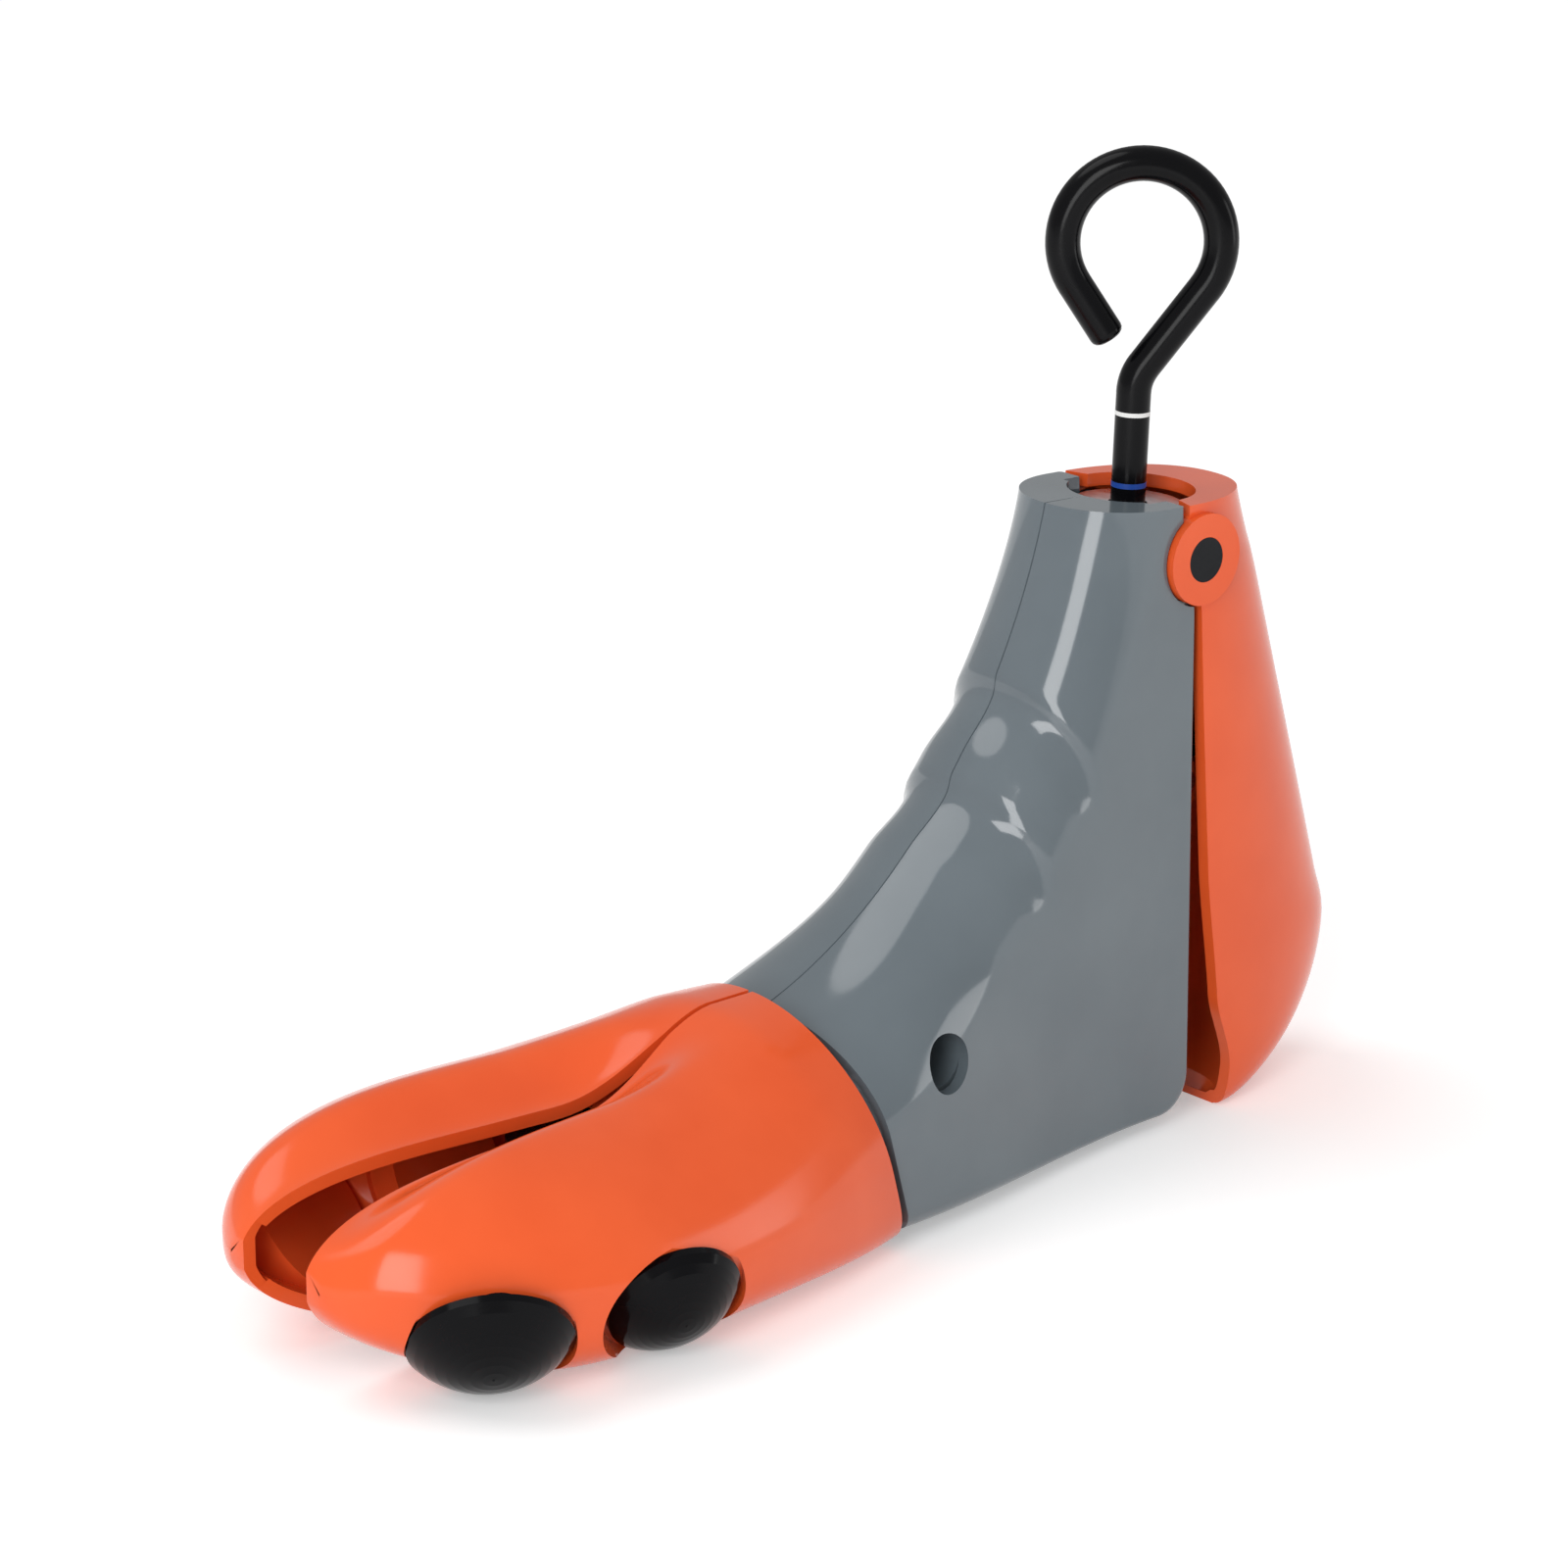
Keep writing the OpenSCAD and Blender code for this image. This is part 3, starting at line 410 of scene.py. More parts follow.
# From the ball to the neck the toe gets narrower by NARROWING
NARROWING, NARROWING_RUN = 11, 66
NOSE_POW = 0.56
# Height of the widest line at the neck
WIDE_Z = 16.5
# Where each change starts, and its run towards the tip
WIDE_RISE = (-140, 70)
SOLE_LIFT = (-168, 45)
EDGE_DIP = (-97, 45)
CROWN_POW_CHANGE = (RIM_X, 45)
SOLE_POW_CHANGE = (RIM_X, 50)
SHEAR_END = (RIM_X, 70)
SOLE_LIFT_SHARE = 0.18
# The crown rises by INSTEP over INSTEP_RUN behind INSTEP_X
INSTEP, INSTEP_X, INSTEP_RUN = 4, -145, 48
CROWN_POWS = (1, 1.25)
SOLE_POWS = (0.45, 0.6)
# The dip of the inner edge reaches this far over the crown
DIP_REACH = 15
OPEN_ROWS, NOSE_ROWS, TOE_COLS = 30, 36, 72
NOSE_ARC = 82
TIP_ROWS = 6


def forward(x, start, run):
    """0 behind start, 1 from run in front of it on, and smooth between."""
    return smooth((start - x) / run)


def nose_share(x):
    return clamp01((BALL_X - x) / (BALL_X - TOE_TIP_X))


def nose_fall(x):
    return math.sqrt(1 - nose_share(x) ** 3)


def half_gap(x):
    return max(LEAST_HALF_GAP, TIP_HALF_GAP * (GAP_START - x) / GAP_RUN)


def toe_half_w(x):
    if x > BALL_X:
        return BALL_HALF_W - NARROWING * ((x - BALL_X) / NARROWING_RUN) ** 2
    u = nose_share(x)
    return half_gap(x) + (BALL_HALF_W - half_gap(x)) * (1 - u * u) ** NOSE_POW


def wide_z(x):
    return mix(WIDE_Z, TIP_Z, forward(x, *WIDE_RISE))


def crown_h(x):
    """How far the crown is above the widest line."""
    instep = INSTEP * clamp01((x - INSTEP_X) / INSTEP_RUN) ** 1.3
    return (CROWN_Z + instep - wide_z(x)) * nose_fall(x)


def sole_h(x):
    """How far the sole is below the widest line."""
    lift = SOLE_LIFT_SHARE * forward(x, *SOLE_LIFT)
    return (wide_z(x) + PROUD) * nose_fall(x) * (1 - lift)


def edge_dip(x):
    """How far the inner edge is below the crown."""
    dip = CROWN_Z - INNER_EDGE_Z + 1
    return dip * forward(x, *EDGE_DIP) * math.sqrt(1 - nose_share(x) ** 2)


def toe_point(x, angle):
    """The point of station x at an angle from straight up."""
    up, out = math.cos(math.radians(angle)), max(0.0, math.sin(math.radians(angle)))
    crown_pow = mix(*CROWN_POWS, forward(x, *CROWN_POW_CHANGE))
    sole_pow = mix(*SOLE_POWS, forward(x, *SOLE_POW_CHANGE))
    above = angle < 90
    q = (toe_half_w(x) - half_gap(x)) * out ** (1 if above else sole_pow)
    rise = signed_pow(up, crown_pow if above else sole_pow)
    z = wide_z(x) + rise * (crown_h(x) if rise > 0 else sole_h(x))
    if rise > 0:
        z -= edge_dip(x) * (1 - smooth(q / DIP_REACH))
    shear = NECK_SLOPE * (1 - forward(x, *SHEAR_END))
    return Vector((x - shear * z, -half_gap(x) - q, z))


def inset(grid, t, keep_x=False):
    """The grid with each point moved in by t. Points on its two long edges keep their Y, or with
    keep_x their X."""
    m, n = len(grid) - 1, len(grid[0]) - 1
    out = []
    for i in range(m + 1):
        row = []
        for j in range(n + 1):
            du = grid[min(i + 1, m)][j] - grid[max(i - 1, 0)][j]
            dv = grid[i][min(j + 1, n)] - grid[i][max(j - 1, 0)]
            normal = du.cross(dv)
            if j in (0, n):
                normal = Vector((0, normal.y, normal.z) if keep_x else (normal.x, 0, normal.z))
            row.append(grid[i][j] - t * normal.normalized())
        out.append(row)
    return out


def toe_grids():
    stations = [mix(RIM_X, BALL_X, k / OPEN_ROWS) for k in range(OPEN_ROWS)]
    stations += [BALL_X - (BALL_X - TOE_TIP_X) * math.sin(math.radians(NOSE_ARC * k / NOSE_ROWS))
                 for k in range(NOSE_ROWS + 1)]
    # Points lie closer together towards the top inner edge
    angles = [90 * (2 * j / TOE_COLS) ** 1.4 if 2 * j < TOE_COLS else 180 * j / TOE_COLS
              for j in range(TOE_COLS + 1)]
    outer = [[toe_point(x, a) for a in angles] for x in stations]
    inner = inset(outer, WALL)
    # The tip's rows only move straight back, so that the lining doesn't fold over itself
    for k in range(len(outer) - TIP_ROWS, len(outer)):
        inner[k] = shifted(outer[k], Vector((WALL, 0, 0)))
    return outer, inner


# The heel flap's outline: rows go down from the top, and points run from the near front edge round
# the back to the far front edge

FLAP_UPPER_ROWS, FLAP_LOWER_ROWS, FLAP_COLS = 44, 40, 88
LOWER_ARC = 84
# The rows tilt over this height to meet the leaned top
TILT_RUN = 20
# The gap between body and flap: at the hinge, and its flare above it. Below the hinge it goes from
# the first width to the second over GAP_FALL, and the edge falls back further in two bends, each
# given by its depth, its height and its run
HINGE_GAP = 0.3
GAP_FLARE = 0.095
FLAP_GAPS, GAP_FALL = (1.2, 3.2), 70
BEND, BEND_Z, BEND_RUN = 2, 52, 26
SOLE_BEND, SOLE_BEND_Z, SOLE_BEND_RUN = 5, 26, 20


def flap_front(z):
    """The front edge, in X: close behind the body at the hinge, and further towards the sole."""
    if z > HINGE[1]:
        return back_edge(z) + HINGE_GAP + GAP_FLARE * (z - HINGE[1])
    gap = mix(*FLAP_GAPS, (HINGE[1] - z) / GAP_FALL)
    bend = BEND * clamp01((BEND_Z - z) / BEND_RUN) ** 1.4
    sole_bend = SOLE_BEND * smooth((SOLE_BEND_Z - z) / SOLE_BEND_RUN)
    return back_edge(z) + gap + bend + sole_bend


def above_bulge(z):
    return (z - HEEL_BULGE_Z) / (ANKLE_H - HEEL_BULGE_Z)


def below_bulge(z):
    return (HEEL_BULGE_Z - z) / (HEEL_BULGE_Z + PROUD)


def flap_back(z):
    """The back, in X: a long slope down to the bulge, and an oval below it."""
    if z > HEEL_BULGE_Z:
        u = above_bulge(z)
        slope = 0.92 * u + 0.08 * u * u
        return HEEL_BACK_X - (HEEL_BACK_X - HEEL_TOP_X) * slope * smooth(u / 0.12 + 0.25)
    u = below_bulge(z)
    return HEEL_CENTRE_X + (HEEL_BACK_X - HEEL_CENTRE_X) * math.sqrt(max(0.012, 1 - u * u))


def flap_half_w(z):
    if z > HEEL_BULGE_Z:
        return mix(HEEL_HALF_W, ANKLE_HALF_W, smooth(above_bulge(z) ** 0.75))
    u = below_bulge(z)
    return HEEL_HALF_W * max(0.008, 1 - u * u) ** 0.07


def flap_row(z):
    front = flap_front(z)
    depth = max(1.0, flap_back(z) - front)
    tilt = AXIS[0] * smooth((z - ANKLE_H + TILT_RUN) / TILT_RUN)
    row = []
    for j in range(FLAP_COLS + 1):
        a = math.pi * j / FLAP_COLS
        x = front + depth * max(0.0, math.sin(a)) ** ROUND_POW
        y = -flap_half_w(z) * signed_pow(math.cos(a), 0.92)
        row.append(Vector((x, y, z - tilt * (x - TOP[0]))))
    return row


def flap_grids():
    levels = [mix(ANKLE_H * AXIS[1], HEEL_BULGE_Z, k / FLAP_UPPER_ROWS)
              for k in range(FLAP_UPPER_ROWS)]
    full = math.sin(math.radians(LOWER_ARC))
    for k in range(FLAP_LOWER_ROWS + 1):
        part = math.sin(math.radians(LOWER_ARC * k / FLAP_LOWER_ROWS))
        levels.append(HEEL_BULGE_Z - (HEEL_BULGE_Z + PROUD) * part / full)
    skin = [flap_row(z) for z in levels]
    outer = [top_plate(skin[0], 6)] + skin
    return outer, inset(outer, WALL, keep_x=True)


# Meshes

# Where two faces meet at more than this, their edge is left sharp
SHARP_ANGLE = math.radians(30)


def to_mesh(bm, name):
    mesh = bpy.data.meshes.new(name)
    bm.to_mesh(mesh)
    bm.free()
    return mesh


def outward_mesh(bm, name):
    """A mesh whose faces all look outwards."""
    bmesh.ops.recalc_face_normals(bm, faces=bm.faces)
    return to_mesh(bm, name)


def shell_mesh(name, outer, inner, cap=False):
    """The wall between two grids. Its first row is an open rim, and so is its last, unless a cap
    closes it."""
    m, n = len(outer) - 1, len(outer[0]) - 1
    bm = bmesh.new()
    o, i = [[[bm.verts.new(p * MM) for p in row] for row in g] for g in (outer, inner)]
    for a in range(m):
        for b in range(n):
            bm.faces.new((o[a][b], o[a][b + 1], o[a + 1][b + 1], o[a + 1][b]))
            bm.faces.new((i[a][b], i[a + 1][b], i[a + 1][b + 1], i[a][b + 1]))
        bm.faces.new((o[a][0], o[a + 1][0], i[a + 1][0], i[a][0]))
        bm.faces.new((o[a][n], i[a][n], i[a + 1][n], o[a + 1][n]))
    for b in range(n):
        bm.faces.new((o[0][b], i[0][b], i[0][b + 1], o[0][b + 1]))
        if not cap:
            bm.faces.new((o[m][b], o[m][b + 1], i[m][b + 1], i[m][b]))
    if cap:
        bm.faces.new(o[m])
        bm.faces.new(list(reversed(i[m])))
        bm.faces.new((o[m][n], i[m][n], i[m][0], o[m][0]))
    return outward_mesh(bm, name)


def tube_mesh(rings, name):
    """Closed rows of points joined one to the next, and closed flat at both ends."""
    n = len(rings[0])
    bm = bmesh.new()
    v = [[bm.verts.new(p * MM) for p in row] for row in rings]
    for a in range(len(rings) - 1):
        for b in range(n):
            c = (b + 1) % n
            bm.faces.new((v[a][b], v[a][c], v[a + 1][c], v[a + 1][b]))
    bm.faces.new(v[0])
    bm.faces.new(list(reversed(v[-1])))
    return outward_mesh(bm, name)


def prism(outline, low, high, place):
    """A closed prism. place turns an outline's two coordinates, and the one along the prism, into a
    point."""
    return tube_mesh([[Vector(place(u, v, w)) for u, v in outline] for w in (low, high)], "prism")


def upright(u, v, w):
    """An outline in X and Z, taken along Y."""
    return u, w, v


def across(u, v, w):
    """An outline in Y and Z, taken along X."""
    return w, u, v


def flat(u, v, w):
    """An outline in X and Y, taken up."""
    return u, v, w


def box(low, high):
    (x0, y0, z0), (x1, y1, z1) = low, high
    return prism([(x0, y0), (x1, y0), (x1, y1), (x0, y1)], z0, z1, flat)


def rod(p, q, r, sides=96):
    """A closed cylinder from p to q."""
    p, q = Vector(p), Vector(q)
    turn = (q - p).to_track_quat("Z", "Y").to_matrix()
    return prism(ring(r, sides), 0, (q - p).length, lambda u, v, w: p + turn @ Vector((u, v, w)))


def cross_rod(x, z, r, y0, y1):
    return rod((x, y0, z), (x, y1, z), r)


def combine(base, others, operation):
    """The base mesh with each other one joined to it, cut away from it, or used to keep what is
    inside."""
    obj = bpy.data.objects.new("work", base)
    bpy.context.scene.collection.objects.link(obj)
    for mesh in others:
        tool = bpy.data.objects.new("tool", mesh)
        bpy.context.scene.collection.objects.link(tool)
        mod = obj.modifiers.new("combine", "BOOLEAN")
        mod.operation = operation
        mod.solver = "EXACT"
        mod.object = tool
        bpy.context.view_layer.update()
        result = obj.evaluated_get(bpy.context.evaluated_depsgraph_get())
        done = bpy.data.meshes.new_from_object(result)
        obj.modifiers.clear()
        obj.data = done
        bpy.data.objects.remove(tool)
    bpy.data.objects.remove(obj)
    return done


def union(meshes):
    return combine(meshes[0], meshes[1:], "UNION")


def joined(*meshes):
    """The meshes in one, each still closed by itself."""
    bm = bmesh.new()
    for mesh in meshes:
        bm.from_mesh(mesh)
    return to_mesh(bm, meshes[0].name)


def mirrored(mesh):
    bm = bmesh.new()
    bm.from_mesh(mesh)
    bmesh.ops.scale(bm, vec=(1, -1, 1), verts=bm.verts)
    bmesh.ops.reverse_faces(bm, faces=bm.faces)
    return to_mesh(bm, mesh.name)


def sharpen(mesh):
    """Smooth shading, broken along the sharp edges."""
    bm = bmesh.new()
    bm.from_mesh(mesh)
    for face in bm.faces:
        face.smooth = True
    for edge in bm.edges:
        edge.smooth = len(edge.link_faces) == 2 and edge.calc_face_angle(0) < SHARP_ANGLE
    bm.to_mesh(mesh)
    bm.free()


def add_piece(name, mesh, material, body, slot):
    obj = bpy.data.objects.new(name, mesh)
    bpy.context.scene.collection.objects.link(obj)
    mesh.materials.clear()
    mesh.materials.append(material)
    sharpen(mesh)
    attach(obj, body)
    return obj


# Sizes that the pieces share. Cutters run past the faces that they cut

HINGE_PIN_R = 4.7
PIN_R = 2.5
# The hinge ears of the flap, outside the body's recesses of the same centre
RECESS_Y = 16.2
EAR_R = 9.7
EAR_IN, EAR_OUT = RECESS_Y + 0.2, RECESS_Y + 3.6
BOSS_R = 7.5
BOSS_IN = 12.9
# The toe hinge's place in X and Y, and the neck block that its pin goes through
TOE_HINGE = (-89.0, -11.0)
BLOCK_LOW, BLOCK_HIGH = 11.3, 29.7
MOUTH_LOW = ANKLE_H - WALL - 3


# The grey halves

# Heights along the screw's axis, and the shelf's half outline round it
SHELF_LOW, NUT_LOW, DISC_LOW = ANKLE_H - 21, ANKLE_H - 17, ANKLE_H - 4.5
SHELF = ((2, -16.8), (-8, -16.2), (-16, -13), (-21, -8), (-22.8, -3), (-22.8, 1), (2, 1))
SHELF_R = 12.2
NUT_R = 6.5 / math.cos(math.radians(30))
BLOCK = ((-6.5, BLOCK_LOW), (-28.4, BLOCK_LOW), (-28.4, 22), (-24.4, BLOCK_HIGH),
         (-6.5, BLOCK_HIGH))
BLOCK_HALF = 6
# The screw that joins the halves: its X and Z, its hole, and how far out its boss reaches
SCREW_HOLE = (-68.7, 32.7)
SCREW_HOLE_R = 6.0
SCREW_SHANK_R = 2
SCREW_SEAT_Y = -8
SCREW_BOSS_Y = -24.6
# Boxes, each given by its lowest and its highest corner
BACK_SLOT = ((0, -9, 40), (20, 9, 140))
HINGE_SLOT = ((0, 0.1 - MOUTH_R, 108), (20, MOUTH_R - 0.1, 148))
BAR_GUIDE = ((-60, -8.5, 1.2), (-34, 1, 20))
BAR_CHANNEL = ((-61, -6.3, 13.7), (-1, 6.3, 23.7))
NEAR_HALF = ((-150, -60, -10), (50, 0, 190))


def body_half():
    openings = [
        rod(on_axis(MOUTH_LOW), on_axis(ANKLE_H + 8), MOUTH_R),
        box(*BACK_SLOT),
        box(*HINGE_SLOT),
    ]
    inside = union([
        prism(SHELF, SHELF_LOW, DISC_LOW, leaned),
        rod(on_axis(SHELF_LOW), on_axis(DISC_LOW), SHELF_R),
        cross_rod(*HINGE, BOSS_R, -RECESS_Y, -BOSS_IN),
        cross_rod(*SCREW_HOLE, SCREW_HOLE_R + 1.6, SCREW_BOSS_Y, 1),
        prism(BLOCK, TOE_HINGE[0] - BLOCK_HALF, TOE_HINGE[0] + BLOCK_HALF, across),
        box(*BAR_GUIDE),
    ])
    holes = [
        cross_rod(*HINGE, EAR_R + PLAY, -30, -RECESS_Y),
        cross_rod(*HINGE, HINGE_PIN_R, -31, -BOSS_IN + 1),
        rod(on_axis(SHELF_LOW - 1), on_axis(SHELF_LOW + 19), ROD_R + 0.6),
        prism(ring(NUT_R, 6), NUT_LOW, NUT_LOW + 20, leaned),
        cross_rod(*SCREW_HOLE, SCREW_HOLE_R, -40, SCREW_SEAT_Y),
        cross_rod(*SCREW_HOLE, SCREW_SHANK_R, -41, 1),
        rod((*TOE_HINGE, BLOCK_LOW - 1), (*TOE_HINGE, BLOCK_HIGH + 1), PIN_R),
        box(*BAR_CHANNEL),
    ]
    shell = combine(shell_mesh("body", *body_grids()), openings, "DIFFERENCE")
    inside = combine(inside, [box(*NEAR_HALF)], "INTERSECT")
    return combine(union([shell, inside]), [union(holes)], "DIFFERENCE")


# The toe halves, with their plug seats and the lugs of the toe hinge

# A plug's seat: the centre of the plug's rim, the way the plug comes out (degrees from straight up,
# and round), the plug's radius, and the play round it
Seat = namedtuple("Seat", "place aim plug_r play")
FRONT_SEAT = Seat((-191.1, -34.4, 10), (125.9, -122.6), 16.0, 0.3)
REAR_SEAT = Seat((-151.7, -41, 9.4), (116.4, -105.3), 13.6, 1.0)
# A plug's foot is this much narrower than the plug
FOOT_STEP = 4
# The rear recess's wall leans up and forward, which leaves room for a finger
REAR_LEAN = Vector((-0.6, -0.22, 0.6))
SEAT_SIDES = 128
# The socket walls stop this far under the toe's outer face
SKIN = 0.4
LUG_T = 4.0
LUG_R = 4.6
LUG_END_X = -134.0
UPPER_LUG = BLOCK_HIGH + 0.5
LOWER_LUG = BLOCK_LOW - 0.5 - LUG_T
# The cam pin's place in X and Y
CAM = (-128.0, -9.0)
# The web that joins the lugs: its outline in X and Z, and its faces in Y
WEB = ((LUG_END_X, -1.4), (LUG_END_X, 39.5), (-108, 40.5), (-106, -1.4))
WEB_Y = (-20.95, -18.45)


def seat_axis(seat):
    a, b = map(math.radians, seat.aim)
    return Vector((math.sin(a) * math.cos(b), math.sin(a) * math.sin(b), math.cos(a)))


def seat_rod(seat, r, low, high):
    place, axis = Vector(seat.place), seat_axis(seat)
    return rod(place + low * axis, place + high * axis, r, SEAT_SIDES)


def rear_recess(r, low, high):
    """A round space in the rear seat whose wall leans to one side."""
    place, axis = Vector(REAR_SEAT.place), seat_axis(REAR_SEAT)
    turn = axis.to_track_quat("Z", "Y").to_matrix()
    return prism(ring(r, SEAT_SIDES), low, high, lambda u, v, w: (
        place + turn @ Vector((u, v, 0)) + w * axis + (w - low) * REAR_LEAN))


def lug(z):
    x, y = TOE_HINGE
    top = z + LUG_T
    return [
        rod((x, y, z), (x, y, top), LUG_R),
        box((x - 18, y - LUG_R, z), (x, y + LUG_R, top)),
        box((LUG_END_X, -21, z), (x - 17, -5, top)),
    ]


def toe_half():
    outer, inner = toe_grids()
    sockets = union([
        seat_rod(FRONT_SEAT, FRONT_SEAT.plug_r + 2, -10, 14),
        seat_rod(REAR_SEAT, REAR_SEAT.plug_r + 2, -10, 14),
        rear_recess(REAR_SEAT.plug_r + 3.2, -3.5, 14),
    ])
    sockets = combine(sockets, [tube_mesh(inset(outer, SKIN), "core")], "INTERSECT")
    inside = union([sockets, prism(WEB, *WEB_Y, upright)] + lug(UPPER_LUG) + lug(LOWER_LUG))
    holes = []
    for seat in (FRONT_SEAT, REAR_SEAT):
        holes += [
            seat_rod(seat, seat.plug_r - FOOT_STEP + FIT, -8, 0),
            seat_rod(seat, seat.plug_r + seat.play, -1.6, 28),
        ]
    holes += [
        # A little narrower and higher than the seat's own recess, so that no faces coincide
        rear_recess(REAR_SEAT.plug_r + REAR_SEAT.play - 0.08, -1.5, 15),
        rod((*TOE_HINGE, 1), (*TOE_HINGE, 41), PIN_R + FIT),
        rod((*CAM, 4), (*CAM, 33), PIN_R),
    ]
    shell = shell_mesh("toe", outer, inner, cap=True)
    return combine(union([shell, inside]), [union(holes)], "DIFFERENCE")


# The heel flap, with its hinge ears and the ribs of its cross pin

CAM_BOSS_R = 4.4
RIB_Y = 10.9
RIB_T = 2.4
RIB_END = 42.8
# The flap's top is cut off where it would reach in front of its joint with the body
FRONT_CUT = ((-50, -40, 110), (TOP_BACK_X + 0.9, 40, 150))


def flap():
    x, z = HEEL_CAM
    openings = [
        rod(on_axis(MOUTH_LOW, 0.8), on_axis(ANKLE_H + 4, 0.8), MOUTH_R + 0.6),
        cross_rod(*HINGE, BOSS_R + PLAY, -EAR_IN, EAR_IN),
        box(*FRONT_CUT),
    ]
    rib = ((x, z - CAM_BOSS_R), (RIB_END, z - CAM_BOSS_R), (RIB_END - 2, z + CAM_BOSS_R),
           (x, z + CAM_BOSS_R))
    inside = []
    for side in (-1, 1):
        rib_faces = side * (RIB_Y - RIB_T / 2), side * (RIB_Y + RIB_T / 2)
        inside += [
            cross_rod(*HINGE, EAR_R, side * EAR_IN, side * EAR_OUT),
            cross_rod(x, z, CAM_BOSS_R, *rib_faces),
            prism(rib, *rib_faces, upright),
        ]
    holes = [
        cross_rod(*HINGE, HINGE_PIN_R + FIT, -30, 30),
        cross_rod(x, z, PIN_R, -RIB_Y - 2, RIB_Y + 2),
    ]
    # The shell and what is inside it are cut apart and then joined, as their union loses the shell
    shell = shell_mesh("flap", *flap_grids(), cap=True)
    shell = combine(shell, [union(openings)] + holes, "DIFFERENCE")
    return joined(shell, combine(union(inside), holes, "DIFFERENCE"))


for near, far, body_names, mesh, material, slot in (
        ("body_right", "body_left", ("body", "body"), body_half(), GREY, "grey_plastic"),
        ("toe_right", "toe_left", ("toe_near", "toe_far"), toe_half(), ORANGE, "orange_plastic")):
    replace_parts(add_piece(near + "_finish", mesh, material, body_names[0], slot), near)
    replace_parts(add_piece(far + "_finish", mirrored(mesh), material, body_names[1], slot), far)
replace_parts(add_piece("heel_flap_finish", flap(), ORANGE, "heel", "orange_plastic"), "heel_flap")

# Painted marks on the screw's shank, as far apart as the drive travels: each one's height along
# the axis, and half its width
MARK_PROUD = 0.03
for name, s, half, material in (
        ("mark_white", 149.0, 0.45, WHITE_PAINT), ("mark_blue", 134.0, 0.55, BLUE_PAINT)):
    band = rod(on_axis(s - half), on_axis(s + half), ROD_R + MARK_PROUD)
    add_piece(name, band, material, "screw", "black_metal")


# Studio, in metres and watts

FLOOR_WHITE = 0.92
FLOOR_LIFT = 0.31
FLOOR_SIZE = 6.0
FLOOR_GAP = 0.0001
WORLD_STRENGTH = 0.52
MIDDLE = (-0.08, 0.0, 0.06)
SUN_STRENGTH = 0.8
SUN_DIRECTION = (0.35, -0.45, -1)


def math_node(tree, operation, first):
    node = tree.nodes.new("ShaderNodeMath")
    node.operation = operation
    tree.links.new(first, node.inputs[0])
    return node


def floor_white():
    """White paper that keeps shadows, a little lifted where it is looked at or reflected."""
    mat, tree, out = empty_material("floor")
    diffuse = tree.nodes.new("ShaderNodeBsdfDiffuse")
    diffuse.inputs["Color"].default_value = (FLOOR_WHITE, FLOOR_WHITE, FLOOR_WHITE, 1)
    lift = tree.nodes.new("ShaderNodeEmission")
    seen = tree.nodes.new("ShaderNodeLightPath")
    previous = seen.outputs["Is Camera Ray"]
    for ray in ("Is Glossy Ray", "Is Transmission Ray"):
        either = math_node(tree, "MAXIMUM", previous)
        tree.links.new(seen.outputs[ray], either.inputs[1])
        previous = either.outputs["Value"]
    scale = math_node(tree, "MULTIPLY", previous)
    scale.inputs[1].default_value = FLOOR_LIFT
    tree.links.new(scale.outputs["Value"], lift.inputs["Strength"])
    both = tree.nodes.new("ShaderNodeAddShader")
    tree.links.new(diffuse.outputs["BSDF"], both.inputs[0])
    tree.links.new(lift.outputs["Emission"], both.inputs[1])
    tree.links.new(both.outputs["Shader"], out.inputs["Surface"])
    return mat


def aimed(direction):
    """The rotation that turns a lamp or camera towards a direction."""
    return direction.to_track_quat("-Z", "Y").to_euler()


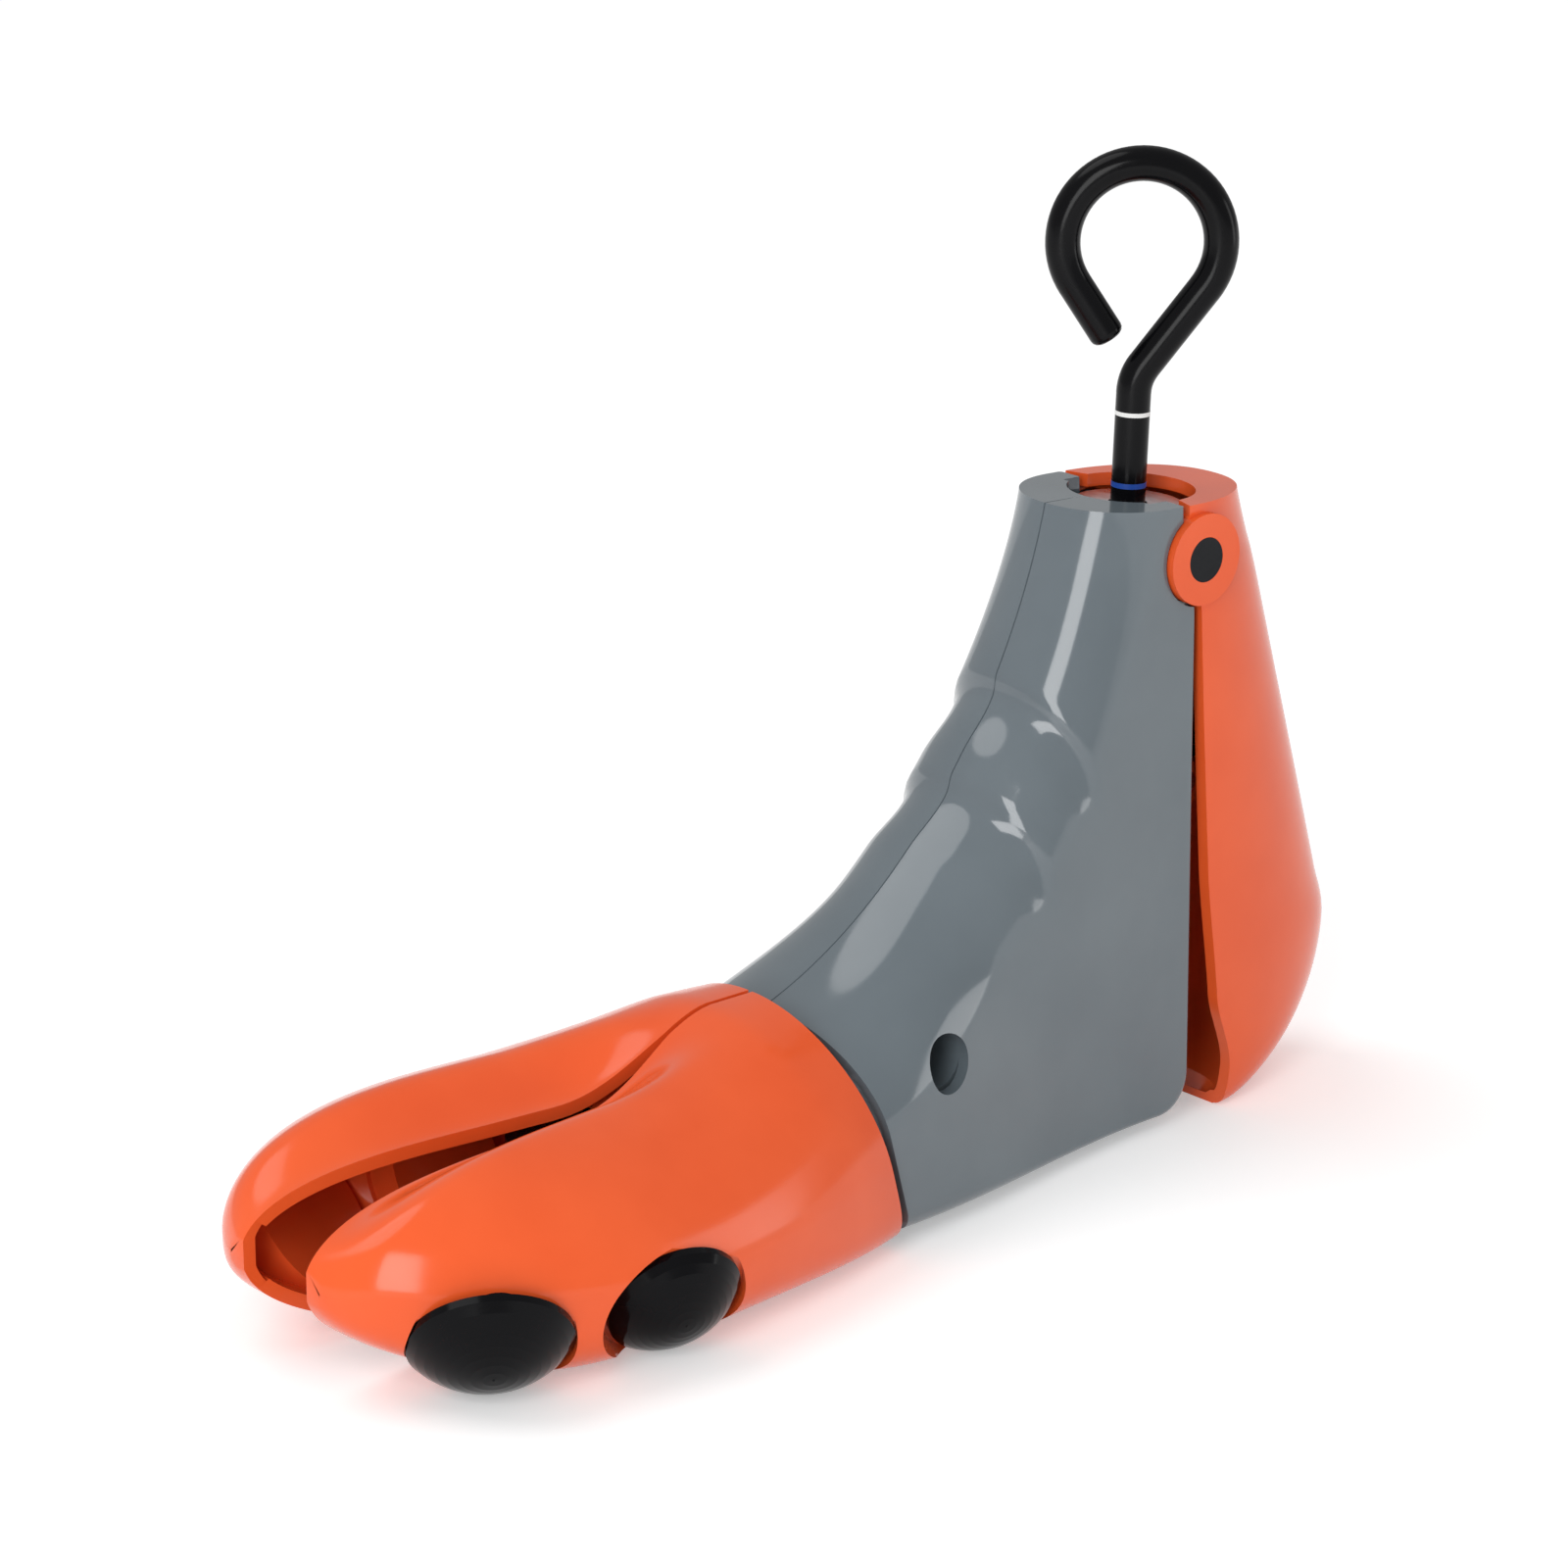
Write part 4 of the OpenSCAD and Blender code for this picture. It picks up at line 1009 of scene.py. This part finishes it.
def area_light(name, place, size, power):
    data = bpy.data.lights.new(name, "AREA")
    data.shape = "RECTANGLE"
    data.size, data.size_y = size
    data.energy = power
    obj = bpy.data.objects.new(name, data)
    obj.location = place
    obj.rotation_euler = aimed(Vector(MIDDLE) - Vector(place))
    bpy.context.scene.collection.objects.link(obj)


bm = bmesh.new()
bmesh.ops.create_grid(bm, x_segments=1, y_segments=1, size=FLOOR_SIZE)
floor = bpy.data.objects.new("floor", outward_mesh(bm, "floor"))
floor.location = (0, 0, cad_box[0][2] - FLOOR_GAP)
bpy.context.scene.collection.objects.link(floor)
floor.data.materials.append(floor_white())

world = bpy.data.worlds.new("studio")
bpy.context.scene.world = world
world.use_nodes = True
background = world.node_tree.nodes["Background"]
background.inputs["Color"].default_value = (1, 1, 1, 1)
background.inputs["Strength"].default_value = WORLD_STRENGTH

area_light("front", (-1.05, -0.62, 0.50), (0.45, 0.9), 7.6)
area_light("side", (0.75, -0.75, 0.20), (0.30, 0.6), 1.4)
sun_data = bpy.data.lights.new("sun", "SUN")
sun_data.energy = SUN_STRENGTH
sun_data.angle = math.radians(40)
sun = bpy.data.objects.new("sun", sun_data)
sun.rotation_euler = aimed(Vector(SUN_DIRECTION))
bpy.context.scene.collection.objects.link(sun)


# Camera, as fitted to the photo: what it looks at, from which side and how far

CAMERA_TARGET = Vector((-0.08813, 0, 0.08912))
CAMERA_AZIMUTH, CAMERA_ELEVATION = math.radians(-41.21), math.radians(18.53)
CAMERA_DISTANCE = 1.09386
back = Vector((math.sin(CAMERA_AZIMUTH) * math.cos(CAMERA_ELEVATION),
               -math.cos(CAMERA_AZIMUTH) * math.cos(CAMERA_ELEVATION),
               math.sin(CAMERA_ELEVATION)))
camera_data = bpy.data.cameras.new("camera")
camera_data.sensor_width = 36
camera_data.lens = 126.5
camera = bpy.data.objects.new("camera", camera_data)
camera.location = CAMERA_TARGET + CAMERA_DISTANCE * back
camera.rotation_euler = aimed(-back)
bpy.context.scene.collection.objects.link(camera)
bpy.context.scene.camera = camera
bpy.context.scene.view_settings.view_transform = "Standard"
